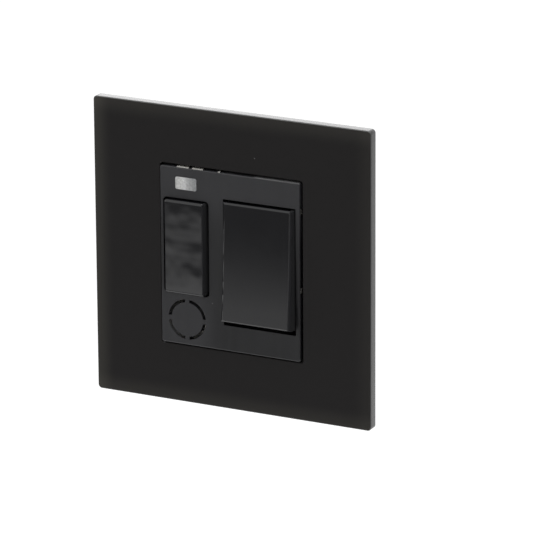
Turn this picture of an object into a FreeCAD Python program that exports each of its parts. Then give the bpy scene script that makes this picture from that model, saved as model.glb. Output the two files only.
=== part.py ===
import FreeCAD, Part
import Sketcher
import math
import os

# Fused spur unit: a double-pole rocker switch, a cartridge fuse in a pull-out carrier and a neon lamp,
# set in one moulded insert behind a square black glass frame.

# Frame of the model: millimetres, X to the right as seen from the front, Y into the wall, Z up.
# The origin lies on the wall plane, midway between the two fixing slots of the yoke.
# Every size below is a cell of the sheet "Sizes". Sketches, pads and placements are bound to it.

V = FreeCAD.Vector

# Lengths closer than this count as equal
TOLERANCE = 1e-4
# Sides of the small rounds that repeat, such as screws and their holes
FEW_SIDES = 12
# Sides of a neon lead, and the way in which its straight runs meet
LEAD_SIDES = 8
MITRED = 1
# Depth within which an edge counts as one of the rocker's front edges
FACE_BAND = 1.0

doc = FreeCAD.newDocument("FusedSpurUnit")
sheet = doc.addObject("Spreadsheet::Sheet", "Sizes")

SIZES = {
    # Glass frame and its moulded backing
    "plate_side": 90.0,
    "glass_thickness": 3.2,
    "glass_corner": 1.3,
    "glass_bevel": 0.5,
    "frame_depth": 8.2,
    "window_gap": 0.3,
    "window_gap_up": 0.5,
    "backing_inset": 3.0,
    "backing_wall": 1.6,
    "backing_corner": 2.0,
    "clip_rib": 1.4,
    # Pressed steel yoke
    "yoke_gauge": 1.2,
    "yoke_width": 78.0,
    "yoke_height": 72.0,
    "yoke_corner": 3.0,
    "yoke_window_width": 40.4,
    "yoke_window_height": 44.8,
    "fixing_centres": 60.3,
    "fixing_slot_width": 4.0,
    "fixing_slot_length": 7.0,
    "fixing_slot_flat": 0.01,
    "lip_width": 14.0,
    "lip_height": 1.8,
    "lip_offset": 24.0,
    # Moulded insert, which is the front half of the module
    "insert_width": 45.5,
    "insert_height": 53.8,
    "insert_proud": 0.8,
    "insert_corner": 0.7,
    "insert_edge": 0.3,
    "face_wall": 2.0,
    "skirt_wall": 1.5,
    "well_wall": 0.8,
    "boss_radius": 1.8,
    "screw_inset": 1.95,
    # Rear half of the module
    "housing_depth": 24.0,
    "floor_depth": 10.4,
    "floor_wall": 1.6,
    "rib_wall": 1.4,
    # Screws that clamp the two halves on the yoke
    "case_screw_radius": 1.3,
    "case_screw_head": 2.3,
    "thread_clearance": 0.05,
    # Rocker and its bearings
    "rocker_margin": 1.85,
    "rocker_left": 1.8,
    "rocker_length": 35.8,
    "rocker_flare": 0.6,
    "rocker_side_gap": 0.4,
    "rocker_end_gap": 0.95,
    "rocker_lift": 0.3,
    "rocker_rise": 7.35,
    "rocker_skirt": 0.6,
    "rocker_dish": 0.35,
    "rocker_edge": 0.6,
    "rocker_wall": 1.4,
    "rocker_tilt": 3.0,
    "pivot_height": 3.6,
    "trunnion_radius": 1.5,
    "trunnion_length": 0.8,
    "ear_radius": 2.1,
    "running_clearance": 0.05,
    # Plungers that push the moving contacts
    "pole_inset": 5.85,
    "plunger_radius": 1.7,
    "plunger_slack": 0.08,
    "plunger_reach": 6.5,
    "plunger_tail": 0.9,
    "nose_bevel": 1.0,
    "spring_radius": 1.05,
    "spring_wire": 0.2,
    "spring_turns": 4.0,
    # Contacts and strips
    "strip_gauge": 1.0,
    "strip_width": 4.0,
    "bar_room": 6.0,
    "bar_gauge": 0.8,
    "bar_upper_arm": 10.6,
    "bar_lower_arm": 7.0,
    "bar_gap": 0.1,
    "tip_radius": 1.6,
    "tip_height": 0.6,
    "fixed_tip_height": 0.48,
    "link_width": 1.3,
    "tip_arm": 8.8,
    "saddle_ear": 1.3,
    # Fuse and its clips
    "fuse_length": 25.4,
    "fuse_radius": 3.175,
    "fuse_tube_radius": 3.0,
    "fuse_cap_length": 5.6,
    "fuse_cap_wall": 0.4,
    "fuse_depth": 3.4,
    "clip_gauge": 0.6,
    "clip_width": 4.8,
    "clip_clearance": 0.08,
    "clip_lip": 0.7,
    "clip_grip": 1.9,
    # Fuse carrier
    "carrier_margin": 8.4,
    "carrier_up": 3.05,
    "carrier_width": 13.0,
    "carrier_height": 28.3,
    "carrier_gap": 0.4,
    "carrier_side_gap": 0.95,
    "carrier_proud": 1.55,
    "carrier_corner": 0.8,
    "carrier_edge": 0.7,
    "carrier_seat": 4.0,
    "carrier_ledge": 1.6,
    "cradle_width": 8.6,
    "cradle_height": 12.0,
    "cradle_mouth": 5.4,
    "cradle_grip": 1.75,
    # Flex outlet with its knock-out
    "outlet_margin": 8.45,
    "outlet_wall": 1.0,
    "outlet_up": -19.15,
    "outlet_radius": 6.15,
    "outlet_slot": 0.95,
    "outlet_bridge": 1.4,
    "tunnel_radius": 5.6,
    # Neon indicator
    "neon_margin": 8.55,
    "neon_up": 22.2,
    "neon_width": 7.0,
    "neon_height": 3.8,
    "neon_corner": 0.5,
    "neon_proud": 0.15,
    "neon_flange": 0.7,
    "lamp_radius": 1.9,
    "lamp_length": 8.6,
    "lamp_shoulder": 1.2,
    "resistor_radius": 1.1,
    "resistor_length": 6.0,
    "resistor_bevel": 0.5,
    "lead_radius": 0.3,
    "lead_climb": 0.81,
    "lead_standoff": 0.7,
    "lead_turn": 1.2,
    "lead_step": 1.5,
    "lead_hole": 0.5,
    # Terminals
    "terminal_width": 5.6,
    "terminal_height": 8.0,
    "terminal_depth": 8.0,
    "terminal_up": 20.0,
    "terminal_bore": 1.9,
    "terminal_screw_radius": 1.5,
    "terminal_head_radius": 2.3,
    "terminal_head_height": 1.5,
    "terminal_clearance": 0.2,
    "earth_across": -4.6,
    # Cord clamp on the back
    "clamp_length": 16.4,
    "clamp_width": 5.0,
    "clamp_gauge": 1.8,
    "clamp_arch": 2.4,
    "clamp_up": -9.6,
    "clamp_screw_spread": 12.8,
}


class Length:
    """A size that knows both its number and the expression that gives it from the sheet."""

    def __init__(self, value, text=None):
        self.value = float(value)
        self.text = text or repr(self.value)

    def combine(self, other, sign, value):
        return Length(value, "(%s %s %s)" % (self.text, sign, other.text))

    def __add__(self, other):
        other = length(other)
        return self.combine(other, "+", self.value + other.value)

    def __sub__(self, other):
        other = length(other)
        return self.combine(other, "-", self.value - other.value)

    def __mul__(self, other):
        other = length(other)
        return self.combine(other, "*", self.value * other.value)

    def __truediv__(self, other):
        other = length(other)
        return self.combine(other, "/", self.value / other.value)

    def __neg__(self):
        return Length(0.0, "0") - self

    def __radd__(self, other):
        return length(other) + self

    def __rsub__(self, other):
        return length(other) - self

    __rmul__ = __mul__


def length(item):
    """Take a plain number or a Length and return a Length."""
    return item if isinstance(item, Length) else Length(item)


def fill_sheet():
    """Write every driving size into its own named cell."""
    for row, (alias, value) in enumerate(SIZES.items(), start=1):
        sheet.set("A%d" % row, alias.replace("_", " "))
        sheet.set("B%d" % row, str(value))
        sheet.setAlias("B%d" % row, alias)
    doc.recompute()


class Sheet:
    """Reads a cell by its alias: size.plate_side is the Length of that cell."""

    def __getattr__(self, alias):
        return Length(getattr(sheet, alias), "Sizes." + alias)


size = Sheet()


def rectangle(u_low, u_high, v_low, v_high, corner=None):
    """Outline of a rectangle, as corner points that may all carry one rounding radius."""
    return [(u_low, v_low, corner), (u_high, v_low, corner), (u_high, v_high, corner), (u_low, v_high, corner)]


def centred(u, v, width, height, corner=None):
    """Outline of a rectangle about a centre."""
    return rectangle(u - width / 2, u + width / 2, v - height / 2, v + height / 2, corner)


def polygon(*points):
    """Outline with sharp corners through the given (u, v) points."""
    return [(u, v, None) for u, v in points]


class Circle:
    """A round outline."""

    def __init__(self, u, v, radius):
        self.u = length(u)
        self.v = length(v)
        self.radius = length(radius)


def faceted(u, v, radius, sides=FEW_SIDES):
    """A small round outline as a polygon, whose corners lie on the circle."""
    angles = [2 * math.pi * (n + 0.5) / sides for n in range(sides)]
    return polygon(*[(u + radius * math.cos(angle), v + radius * math.sin(angle)) for angle in angles])


def towards(start, end, reach):
    """The point that lies reach away from start along an edge that is parallel to an axis."""
    du = end[0].value - start[0].value
    dv = end[1].value - start[1].value
    if abs(du) > abs(dv):
        return (start[0] + reach * math.copysign(1, du), start[1])
    return (start[0], start[1] + reach * math.copysign(1, dv))


class Piece:
    """One part of the product as a PartDesign body, built from sketches on its own origin planes."""

    PLANES = {"front": "XZ_Plane", "side": "YZ_Plane", "plan": "XY_Plane"}

    def __init__(self, label, place=(0, 0, 0), tilt=None, several=False):
        self.label = label
        self.body = doc.addObject("PartDesign::Body", "Body_" + label)
        self.body.Label = label
        self.body.AllowCompound = several
        for axis, item in zip("xyz", place):
            bind(self.body, "Placement.Base." + axis, item)
        if tilt is not None:
            turn = FreeCAD.Rotation(V(1, 0, 0), tilt.value)
            self.body.Placement = FreeCAD.Placement(self.body.Placement.Base, turn)
            self.body.setExpression("Placement.Rotation.Angle", tilt.text + " * 1 deg")
        self.count = 0

    def plane(self, role):
        """The body's own origin plane of that role."""
        for item in self.body.Origin.OriginFeatures:
            if item.Role == role:
                return item
        raise ValueError("no plane " + role)

    def sketch(self, view, level, outlines, origin=(0, 0)):
        """A sketch parallel to one origin plane, with every point bound to the sheet."""
        self.count += 1
        item = self.body.newObject("Sketcher::SketchObject", "%s_sketch_%d" % (self.label, self.count))
        item.AttachmentSupport = [(self.plane(self.PLANES[view]), "")]
        item.MapMode = "FlatFace"
        level = length(level)
        bind(item, "AttachmentOffset.Base.z", -level if view == "front" else level)
        bind(item, "AttachmentOffset.Base.x", length(origin[0]))
        bind(item, "AttachmentOffset.Base.y", length(origin[1]))
        for outline in outlines:
            if isinstance(outline, Circle):
                draw_circle(item, outline)
            else:
                draw_outline(item, outline)
        return item

    def feature(self, kind, view, outlines, low, high, origin=(0, 0)):
        """A Pad or Pocket between two levels along the view's axis."""
        low = length(low)
        high = length(high)
        profile = self.sketch(view, low, outlines, origin)
        item = self.body.newObject("PartDesign::" + kind, "%s_%s_%d" % (self.label, kind.lower(), self.count))
        item.Profile = profile
        bind(item, "Length", high - low)
        item.Reversed = (view == "front") == (kind == "Pad")
        return item

    def add(self, view, outlines, low, high, origin=(0, 0)):
        """Add material between two levels."""
        return self.feature("Pad", view, outlines, low, high, origin)

    def cut(self, view, outlines, low, high, origin=(0, 0)):
        """Remove material between two levels, and make sure that something was removed."""
        doc.recompute()
        before = self.body.Shape.Volume
        item = self.feature("Pocket", view, outlines, low, high, origin)
        doc.recompute()
        if self.body.Shape.Volume > before - TOLERANCE:
            raise RuntimeError("the cut %s removes nothing" % item.Name)
        return item

    def dress(self, kind, amount, chooser):
        """Round or bevel the edges that the chooser picks."""
        doc.recompute()
        tip = self.body.Tip
        names = ["Edge%d" % (n + 1) for n, edge in enumerate(tip.Shape.Edges) if chooser(edge)]
        if not names:
            raise RuntimeError("no edge to dress on " + self.label)
        self.count += 1
        item = self.body.newObject("PartDesign::" + kind, "%s_%s_%d" % (self.label, kind.lower(), self.count))
        item.Base = (tip, names)
        bind(item, "Radius" if kind == "Fillet" else "Size", amount)
        return item


def bind(item, path, amount):
    """Tie one property to the sheet, or set it where it is a plain number."""
    amount = length(amount)
    if "Sizes." in amount.text:
        item.setExpression(path, amount.text)
    elif path.startswith("Placement.Base."):
        place = item.Placement
        setattr(place.Base, path[-1], amount.value)
        item.Placement = place
    elif path.startswith("AttachmentOffset.Base."):
        place = item.AttachmentOffset
        setattr(place.Base, path[-1], amount.value)
        item.AttachmentOffset = place
    else:
        setattr(item, path, amount.value)


def sketch_vector(point):
    """The sketch position of a (u, v) pair."""
    return V(point[0].value, point[1].value, 0)


def place_point(item, geometry, end, point):
    """Hold one end of a line or arc at its (u, v) position."""
    for kind, amount in (("DistanceX", point[0]), ("DistanceY", point[1])):
        hold(item, kind, (-1, 1, geometry, end), amount)


def hold(item, kind, arguments, amount):
    """Add one dimension to a sketch and tie it to the sheet."""
    index = item.addConstraint(Sketcher.Constraint(kind, *arguments, amount.value))
    if "Sizes." in amount.text:
        item.setExpression("Constraints[%d]" % index, amount.text)


def draw_circle(item, circle):
    """Add a circle with its centre and radius held."""
    centre = V(circle.u.value, circle.v.value, 0)
    index = item.addGeometry(Part.Circle(centre, V(0, 0, 1), circle.radius.value))
    place_point(item, index, 3, (circle.u, circle.v))
    hold(item, "Radius", (index,), circle.radius)


def draw_outline(item, outline):
    """Add a closed outline of straight edges, with quarter arcs at the corners that have a radius."""
    corners = [(length(u), length(v), radius) for u, v, radius in outline]
    pieces = []
    for n, corner in enumerate(corners):
        before = corners[n - 1]
        after = corners[(n + 1) % len(corners)]
        if corner[2] is None:
            pieces.append((corner[:2], corner[:2], None))
        else:
            pieces.append((towards(corner, before, corner[2]), towards(corner, after, corner[2]), corner))
    first = None
    previous = None
    for n, (arrive, leave, corner) in enumerate(pieces):
        if corner is not None:
            radius = length(corner[2])
            centre = V(arrive[0].value + leave[0].value - corner[0].value,
                       arrive[1].value + leave[1].value - corner[1].value, 0)
            middle = centre + (V(corner[0].value, corner[1].value, 0) - centre).normalize() * radius.value
            arc = Part.Arc(sketch_vector(arrive), middle, sketch_vector(leave))
            index = item.addGeometry(arc)
            start, end = (1, 2) if cross(arrive, leave, centre) > 0 else (2, 1)
            place_point(item, index, start, arrive)
            place_point(item, index, end, leave)
            hold(item, "Radius", (index,), radius)
            if previous is not None:
                item.addConstraint(Sketcher.Constraint("Coincident", previous[0], previous[1], index, start))
            else:
                first = (index, start)
            previous = (index, end)
        following = pieces[(n + 1) % len(pieces)][0]
        index = item.addGeometry(Part.LineSegment(sketch_vector(leave), sketch_vector(following)))
        if previous is not None:
            item.addConstraint(Sketcher.Constraint("Coincident", previous[0], previous[1], index, 1))
        else:
            first = (index, 1)
        if corner is None:
            place_point(item, index, 1, leave)
        previous = (index, 2)
    item.addConstraint(Sketcher.Constraint("Coincident", previous[0], previous[1], first[0], first[1]))


def cross(arrive, leave, centre):
    """Positive where the corner turns to the left, which is how an arc stores its ends."""
    first = (arrive[0].value - centre.x, arrive[1].value - centre.y)
    second = (leave[0].value - centre.x, leave[1].value - centre.y)
    return first[0] * second[1] - first[1] * second[0]


fill_sheet()

# Levels along Y that several pieces share: negative is in front of the wall
glass_front = -size.frame_depth
glass_back = glass_front + size.glass_thickness
insert_front = glass_front - size.insert_proud
face_back = insert_front + size.face_wall
yoke_front = -size.yoke_gauge
floor_front = size.floor_depth
floor_back = floor_front + size.floor_wall
strip_front = floor_front - size.strip_gauge
housing_back = size.housing_depth
window_width = size.insert_width + size.window_gap * 2
window_height = size.insert_height + size.window_gap_up * 2

# Places across the insert, which follow its sides
insert_side = size.insert_width / 2
rocker_width = insert_side - size.rocker_margin + size.rocker_left
rocker_centre = (insert_side - size.rocker_margin - size.rocker_left) / 2
pole_pitch = rocker_width - size.pole_inset * 2
bar_width = pole_pitch - size.bar_room
carrier_across = size.carrier_margin - insert_side
outlet_across = size.outlet_margin - insert_side
neon_across = size.neon_margin - insert_side

# Wells of the insert
rocker_well_width = rocker_width + size.rocker_side_gap * 2
rocker_well_height = size.rocker_length + size.rocker_flare + size.rocker_end_gap * 2
carrier_well_width = size.carrier_width + size.carrier_side_gap * 2
carrier_well_height = size.carrier_height + size.carrier_gap * 2
outlet_inner = size.outlet_radius - size.outlet_slot
bearing_bore = size.trunnion_radius + size.running_clearance
screw_across = size.insert_width / 2 - size.screw_inset
screw_up = size.insert_height / 2 - size.screw_inset
pilot_radius = size.case_screw_radius + size.thread_clearance
POLES = {"live": rocker_centre - pole_pitch / 2, "neutral": rocker_centre + pole_pitch / 2}
lead_up = size.terminal_up + size.strip_gauge / 2 + size.lead_climb

# Switch levels
pivot_level = -size.pivot_height
nose_level = pivot_level + size.plunger_reach
bar_front = nose_level + size.running_clearance * 2
bar_pivot = bar_front + size.bar_gauge + size.bar_gap
contact_tilt = size.rocker_tilt * 2

# Terminals: block name, place across, place up
terminal_front = floor_back + size.floor_wall
terminal_back = terminal_front + size.terminal_depth
TERMINALS = {
    "live_feed_terminal": (POLES["live"], -size.terminal_up),
    "neutral_feed_terminal": (POLES["neutral"], -size.terminal_up),
    "earth_feed_terminal": (size.earth_across, -size.terminal_up),
    "live_load_terminal": (carrier_across, size.terminal_up),
    "neutral_load_terminal": (POLES["neutral"], size.terminal_up),
    "earth_load_terminal": (size.earth_across, size.terminal_up),
}


def four_corners(across, up):
    """The four places that mirror one another about both centre lines."""
    return [(across * i, up * j) for i in (-1, 1) for j in (-1, 1)]


def edge_box(edge):
    """Corners of an edge's bounding box."""
    box = edge.BoundBox
    return (box.XMin, box.YMin, box.ZMin, box.XMax, box.YMax, box.ZMax)


def lies_at(index, value):
    """A chooser for edges that lie wholly at one X, Y or Z."""
    def test(edge):
        box = edge_box(edge)
        return abs(box[index] - value) < TOLERANCE and abs(box[index + 3] - value) < TOLERANCE
    return test


def outer_front_edges(front, half_width, half_height):
    """A chooser for the outer front edges of a plate, which leaves its window alone."""
    def test(edge):
        box = edge_box(edge)
        across = max(abs(box[0]), abs(box[3]))
        up = max(abs(box[2]), abs(box[5]))
        outside = across > half_width - TOLERANCE or up > half_height - TOLERANCE
        return lies_at(1, front)(edge) and outside
    return test


def make_glass_frame():
    """Square slab of black glass with a ground and polished bevel, and the window for the insert."""
    piece = Piece("glass_frame")
    slab = centred(0, 0, size.plate_side, size.plate_side, size.glass_corner)
    piece.add("front", [slab], glass_front, glass_back)
    half = size.plate_side.value / 2
    piece.dress("Chamfer", size.glass_bevel, outer_front_edges(glass_front.value, half, half))
    window = centred(0, 0, window_width, window_height, size.insert_corner)
    piece.cut("front", [window], glass_front, glass_back)


def make_frame_backing():
    """Moulded tray behind the glass, with ribs that clip over the lips of the yoke."""
    piece = Piece("frame_backing")
    side = size.plate_side - size.backing_inset * 2
    floor = glass_back + size.backing_wall
    piece.add("front", [centred(0, 0, side, side, size.backing_corner)], glass_back, 0)
    inner = side - size.backing_wall * 2
    piece.cut("front", [centred(0, 0, inner, inner)], floor, 0)
    piece.cut("front", [centred(0, 0, window_width, window_height, size.insert_corner)], glass_back, floor)
    lip_edge = size.yoke_height / 2 - size.yoke_gauge
    ribs = [centred(size.lip_offset * i, lip_edge * j - (size.clip_rib / 2 + size.running_clearance * 2) * j,
                    size.lip_width, size.clip_rib)
            for i in (-1, 1) for j in (-1, 1)]
    piece.add("front", ribs, floor, yoke_front - size.running_clearance * 4)


def make_mounting_yoke():
    """Pressed steel plate with the module's window, two fixing slots and four turned-up lips."""
    piece = Piece("mounting_yoke")
    outline = centred(0, 0, size.yoke_width, size.yoke_height, size.yoke_corner)
    piece.add("front", [outline], yoke_front, 0)
    slots = [centred(size.fixing_centres / 2 * i, 0, size.fixing_slot_length, size.fixing_slot_width,
                     size.fixing_slot_width / 2 - size.fixing_slot_flat) for i in (-1, 1)]
    piece.cut("front", slots, yoke_front, 0)
    holes = [faceted(x, z, pilot_radius) for x, z in four_corners(screw_across, screw_up)]
    piece.cut("front", holes, yoke_front, 0)
    passages = [Circle(outlet_across, size.outlet_up, size.tunnel_radius + size.window_gap)]
    passages += [Circle(x, lead_up, size.lead_hole) for x in (carrier_across, POLES["neutral"])]
    piece.cut("front", passages, yoke_front, 0)
    piece.cut("front", [centred(0, 0, size.yoke_window_width, size.yoke_window_height)], yoke_front, 0)
    lips = [centred(size.lip_offset * i, (size.yoke_height / 2 - size.yoke_gauge / 2) * j,
                    size.lip_width, size.yoke_gauge) for i in (-1, 1) for j in (-1, 1)]
    piece.add("front", lips, yoke_front - size.lip_height, yoke_front)


def outlet_slot_outline(item):
    """One of the four curved slots round the knock-out, drawn about the sketch's own origin."""
    half = size.outlet_bridge / 2
    ends = []
    for radius in (size.outlet_radius, outlet_inner):
        along = math.sqrt(radius.value ** 2 - half.value ** 2)
        middle = radius.value / math.sqrt(2)
        arc = Part.Arc(V(along, half.value, 0), V(middle, middle, 0), V(half.value, along, 0))
        index = item.addGeometry(arc)
        item.addConstraint(Sketcher.Constraint("Coincident", index, 3, -1, 1))
        hold(item, "Radius", (index,), radius)
        hold(item, "DistanceY", (-1, 1, index, 1), half)
        hold(item, "DistanceX", (-1, 1, index, 2), half)
        ends.append(index)
    for end in (1, 2):
        points = [item.getPoint(index, end) for index in ends]
        line = item.addGeometry(Part.LineSegment(*points))
        item.addConstraint(Sketcher.Constraint("Coincident", line, 1, ends[0], end))
        item.addConstraint(Sketcher.Constraint("Coincident", line, 2, ends[1], end))


def cut_knock_out(piece):
    """Four curved slots leave a disc that stays on thin bridges until the outlet is wanted."""
    profile = piece.sketch("front", insert_front, [], (outlet_across, size.outlet_up))
    outlet_slot_outline(profile)
    slot = piece.body.newObject("PartDesign::Pocket", "knock_out_slot")
    slot.Profile = profile
    bind(slot, "Length", size.face_wall)
    slot.Reversed = False
    doc.recompute()
    ring = piece.body.newObject("PartDesign::PolarPattern", "knock_out_slots")
    ring.Originals = [slot]
    ring.Axis = (profile, ["N_Axis"])
    ring.Angle = 360.0
    ring.Occurrences = 4
    piece.body.Tip = ring


def make_front_housing():
    """Moulded insert: face, skirt, wells for rocker and carrier, outlet with its knock-out, screw bosses."""
    piece = Piece("front_housing")
    piece.add("front", [centred(0, 0, size.insert_width, size.insert_height, size.insert_corner)],
              insert_front, yoke_front)
    piece.dress("Fillet", size.insert_edge, lies_at(1, insert_front.value))
    inner_width = size.insert_width - size.skirt_wall * 2
    inner_height = size.insert_height - size.skirt_wall * 2
    piece.cut("front", [centred(0, 0, inner_width, inner_height)], face_back, yoke_front)
    wall = size.well_wall * 2
    piece.add("front", [centred(rocker_centre, 0, rocker_well_width + wall, rocker_well_height + wall)],
              face_back, yoke_front)
    piece.add("front", [centred(carrier_across, size.carrier_up, carrier_well_width + wall,
                                carrier_well_height + wall)], face_back, yoke_front)
    piece.add("front", [Circle(outlet_across, size.outlet_up, size.outlet_radius + size.outlet_wall)],
              face_back, yoke_front)
    piece.add("front", [Circle(x, z, size.boss_radius) for x, z in four_corners(screw_across, screw_up)],
              face_back, yoke_front)
    piece.cut("front", [centred(rocker_centre, 0, rocker_well_width, rocker_well_height)],
              insert_front, yoke_front)
    piece.cut("front", [centred(carrier_across, size.carrier_up, carrier_well_width, carrier_well_height,
                                size.carrier_corner + size.carrier_gap)], insert_front, -size.carrier_seat)
    ledge = size.carrier_ledge * 2
    piece.cut("front", [centred(carrier_across, size.carrier_up, carrier_well_width - ledge,
                                carrier_well_height - ledge)], -size.carrier_seat, yoke_front)
    piece.cut("front", [centred(neon_across, size.neon_up, size.neon_width, size.neon_height,
                                size.neon_corner)], insert_front, face_back)
    piece.cut("front", [Circle(outlet_across, size.outlet_up, size.outlet_radius)], face_back, yoke_front)
    cut_knock_out(piece)
    piece.cut("front", [faceted(x, z, pilot_radius) for x, z in four_corners(screw_across, screw_up)],
              face_back, yoke_front)
    bearing_reach = rocker_well_width / 2 + size.trunnion_length + size.running_clearance * 2
    piece.cut("side", [Circle(pivot_level, 0, bearing_bore)], rocker_centre - bearing_reach,
              rocker_centre + bearing_reach)


def make_rear_housing():
    """Moulded base: pole and fuse chambers, terminal cells, outlet tunnel and holes for the clamp."""
    piece = Piece("rear_housing")
    block = centred(0, 0, size.insert_width, size.insert_height, size.insert_corner)
    piece.add("front", [block], 0, housing_back)
    pole_width = pole_pitch - size.rib_wall
    pole_height = size.bar_upper_arm * 2 + size.housing_depth / 2
    piece.cut("front", [centred(x, 0, pole_width, pole_height) for x in POLES.values()], 0, floor_front)
    piece.cut("front", [fuse_chamber()], 0, floor_front)
    piece.cut("front", [rectangle(*strip_bay(x, sign)) for x, sign in strip_bays()], 0, floor_front)
    piece.cut("front", [link_slot()], strip_front - size.window_gap, floor_front)
    cells = [centred(x, z, size.terminal_width + size.terminal_clearance * 2,
                     size.terminal_height + size.terminal_clearance * 2) for x, z in TERMINALS.values()]
    piece.cut("front", cells, floor_back, housing_back)
    tabs = [centred(x, z, size.strip_width + size.terminal_clearance * 2,
                    size.strip_gauge + size.terminal_clearance * 2)
            for name, (x, z) in TERMINALS.items() if not name.startswith("earth")]
    piece.cut("front", tabs, floor_front, floor_back)
    strap = size.strip_width + size.terminal_clearance * 2
    earth_end = earth_riser()[1] + size.terminal_clearance
    piece.cut("front", [rectangle(size.earth_across - strap / 2, size.earth_across + strap / 2,
                                  -size.terminal_up, earth_end)], floor_back, terminal_front)
    piece.cut("front", [rectangle(size.earth_across - strap / 2, size.earth_across + strap / 2,
                                  earth_riser()[0] - size.terminal_clearance, earth_end)], 0, floor_back)
    piece.cut("front", [Circle(outlet_across, size.outlet_up, size.tunnel_radius)], 0, housing_back)
    entries = [Circle(x, terminal_front + size.terminal_depth / 2, size.terminal_bore + size.terminal_clearance)
               for x, z in TERMINALS.values() if z.value > 0]
    cell_end = size.terminal_up + size.terminal_height / 2
    piece.cut("plan", entries, cell_end, size.insert_height / 2)
    entries = [Circle(x, terminal_front + size.terminal_depth / 2, size.terminal_bore + size.terminal_clearance)
               for x, z in TERMINALS.values() if z.value < 0]
    piece.cut("plan", entries, -size.insert_height / 2, -cell_end)
    piece.cut("front", coring(), floor_back, housing_back)
    holes = [faceted(x, z, pilot_radius) for x, z in four_corners(screw_across, screw_up)]
    piece.cut("front", holes, 0, housing_back)
    clamp_holes = [faceted(x, z, pilot_radius) for x, z in clamp_screw_places()]
    piece.cut("front", clamp_holes, housing_back - size.floor_depth / 2, housing_back)


def fuse_jaw_span():
    """Outer width of a fuse clip."""
    return (size.fuse_radius + size.clip_clearance + size.clip_gauge) * 2


def fuse_chamber():
    """Outline of the chamber that holds the fuse, its clips and the live link."""
    half = fuse_jaw_span() / 2
    left = carrier_across - half - size.rib_wall
    right = carrier_across + half + size.strip_gauge * 2 + size.terminal_clearance * 2
    low = size.carrier_up - size.fuse_length / 2 - size.rib_wall
    high = size.carrier_up + size.fuse_length / 2 + size.rib_wall
    return rectangle(left, right, low, high)


def strip_bays():
    """The strips that reach a terminal: place across and side of the housing."""
    return [(POLES["live"], -1), (POLES["neutral"], -1), (POLES["neutral"], 1), (carrier_across, 1)]


def strip_bay(x, sign):
    """Channel along which a strip runs to its terminal."""
    half = size.strip_width / 2 + size.terminal_clearance
    near = size.bar_upper_arm
    far = size.terminal_up + size.strip_gauge / 2 + size.terminal_clearance + size.lead_radius * 4
    if sign > 0:
        return (x - half, x + half, near, far)
    return (x - half, x + half, -far, -near)


def link_ups():
    """Lower and upper edge of the live link where it crosses from the switch to the fuse."""
    low = size.bar_upper_arm + size.tip_radius
    return low, low + size.strip_width


def link_slot():
    """Slot in the rib between the live pole and the fuse chamber."""
    low, high = link_ups()
    return rectangle(carrier_across + fuse_jaw_span() / 2, POLES["live"],
                     low - size.terminal_clearance, high + size.terminal_clearance)


def earth_riser():
    """Lower and upper edge of the earth strap's leg, which meets the yoke above its window."""
    low = size.yoke_window_height / 2 + size.rib_wall
    return low, low + size.strip_gauge


def clamp_screw_places():
    """The two screws of the cord clamp."""
    half = size.clamp_screw_spread / 2
    return [(outlet_across - half, size.clamp_up), (outlet_across + half, size.clamp_up)]


def coring():
    """Open cells on the back that keep the moulding's walls even."""
    rib = size.rib_wall
    reach = size.terminal_up - size.terminal_height / 2 - size.terminal_clearance - rib
    left = -size.insert_width / 2 + rib
    strap_left = size.earth_across - size.strip_width / 2 - rib
    strap_right = size.earth_across + size.strip_width / 2 + rib
    clamp_top = size.clamp_up + size.clamp_width / 2 + rib
    right = size.insert_width / 2 - rib
    middle = rocker_centre
    return [
        rectangle(left, strap_left, clamp_top, reach),
        rectangle(strap_right, middle - rib / 2, -reach, reach),
        rectangle(middle + rib / 2, right, -reach, reach),
    ]


def make_housing_screws():
    """Four self-tapping screws from the back, through the base and the yoke into the insert's bosses."""
    piece = Piece("housing_screws", several=True)
    places = four_corners(screw_across, screw_up)
    piece.add("front", [faceted(x, z, size.case_screw_head) for x, z in places],
              housing_back, housing_back + size.terminal_head_height)
    piece.add("front", [faceted(x, z, size.case_screw_radius) for x, z in places],
              face_back + size.thread_clearance * 4, housing_back)


def make_rocker():
    """Rocker with a gently dished front, ears that carry the trunnions and two guides for the plungers."""
    piece = Piece("rocker", (rocker_centre, pivot_level, 0), -size.rocker_tilt)
    half_width = rocker_width / 2
    half_face = size.rocker_length / 2
    half_skirt = half_face + size.rocker_flare / 2
    face = -size.rocker_rise
    profile = piece.sketch("side", -half_width, [])
    draw_rocker_profile(profile, face, half_face, half_skirt)
    block = piece.body.newObject("PartDesign::Pad", "rocker_block")
    block.Profile = profile
    bind(block, "Length", rocker_width)
    piece.dress("Fillet", size.rocker_edge, rocker_face_edges(face.value, half_width.value, half_face.value))
    roof = face + size.rocker_dish + size.rocker_wall
    piece.cut("front", [centred(0, 0, rocker_width - size.rocker_wall * 2,
                                size.rocker_length - size.rocker_wall * 2)], roof, size.rocker_skirt)
    guides = [Circle(pole_pitch / 2 * i, 0, size.plunger_radius + size.rocker_wall / 2 + size.plunger_slack)
              for i in (-1, 1)]
    piece.add("front", guides, roof, size.rocker_skirt)
    bores = [Circle(pole_pitch / 2 * i, 0, size.plunger_radius + size.plunger_slack) for i in (-1, 1)]
    piece.cut("front", bores, roof, size.rocker_skirt)
    for sign in (-1, 1):
        near = (half_width - size.rocker_wall) * sign
        far = half_width * sign
        tip = (half_width + size.rocker_side_gap + size.trunnion_length) * sign
        if sign < 0:
            piece.add("side", [Circle(0, 0, size.ear_radius)], far, near)
            piece.add("side", [Circle(0, 0, size.trunnion_radius)], tip, far)
        else:
            piece.add("side", [Circle(0, 0, size.ear_radius)], near, far)
            piece.add("side", [Circle(0, 0, size.trunnion_radius)], far, tip)


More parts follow.
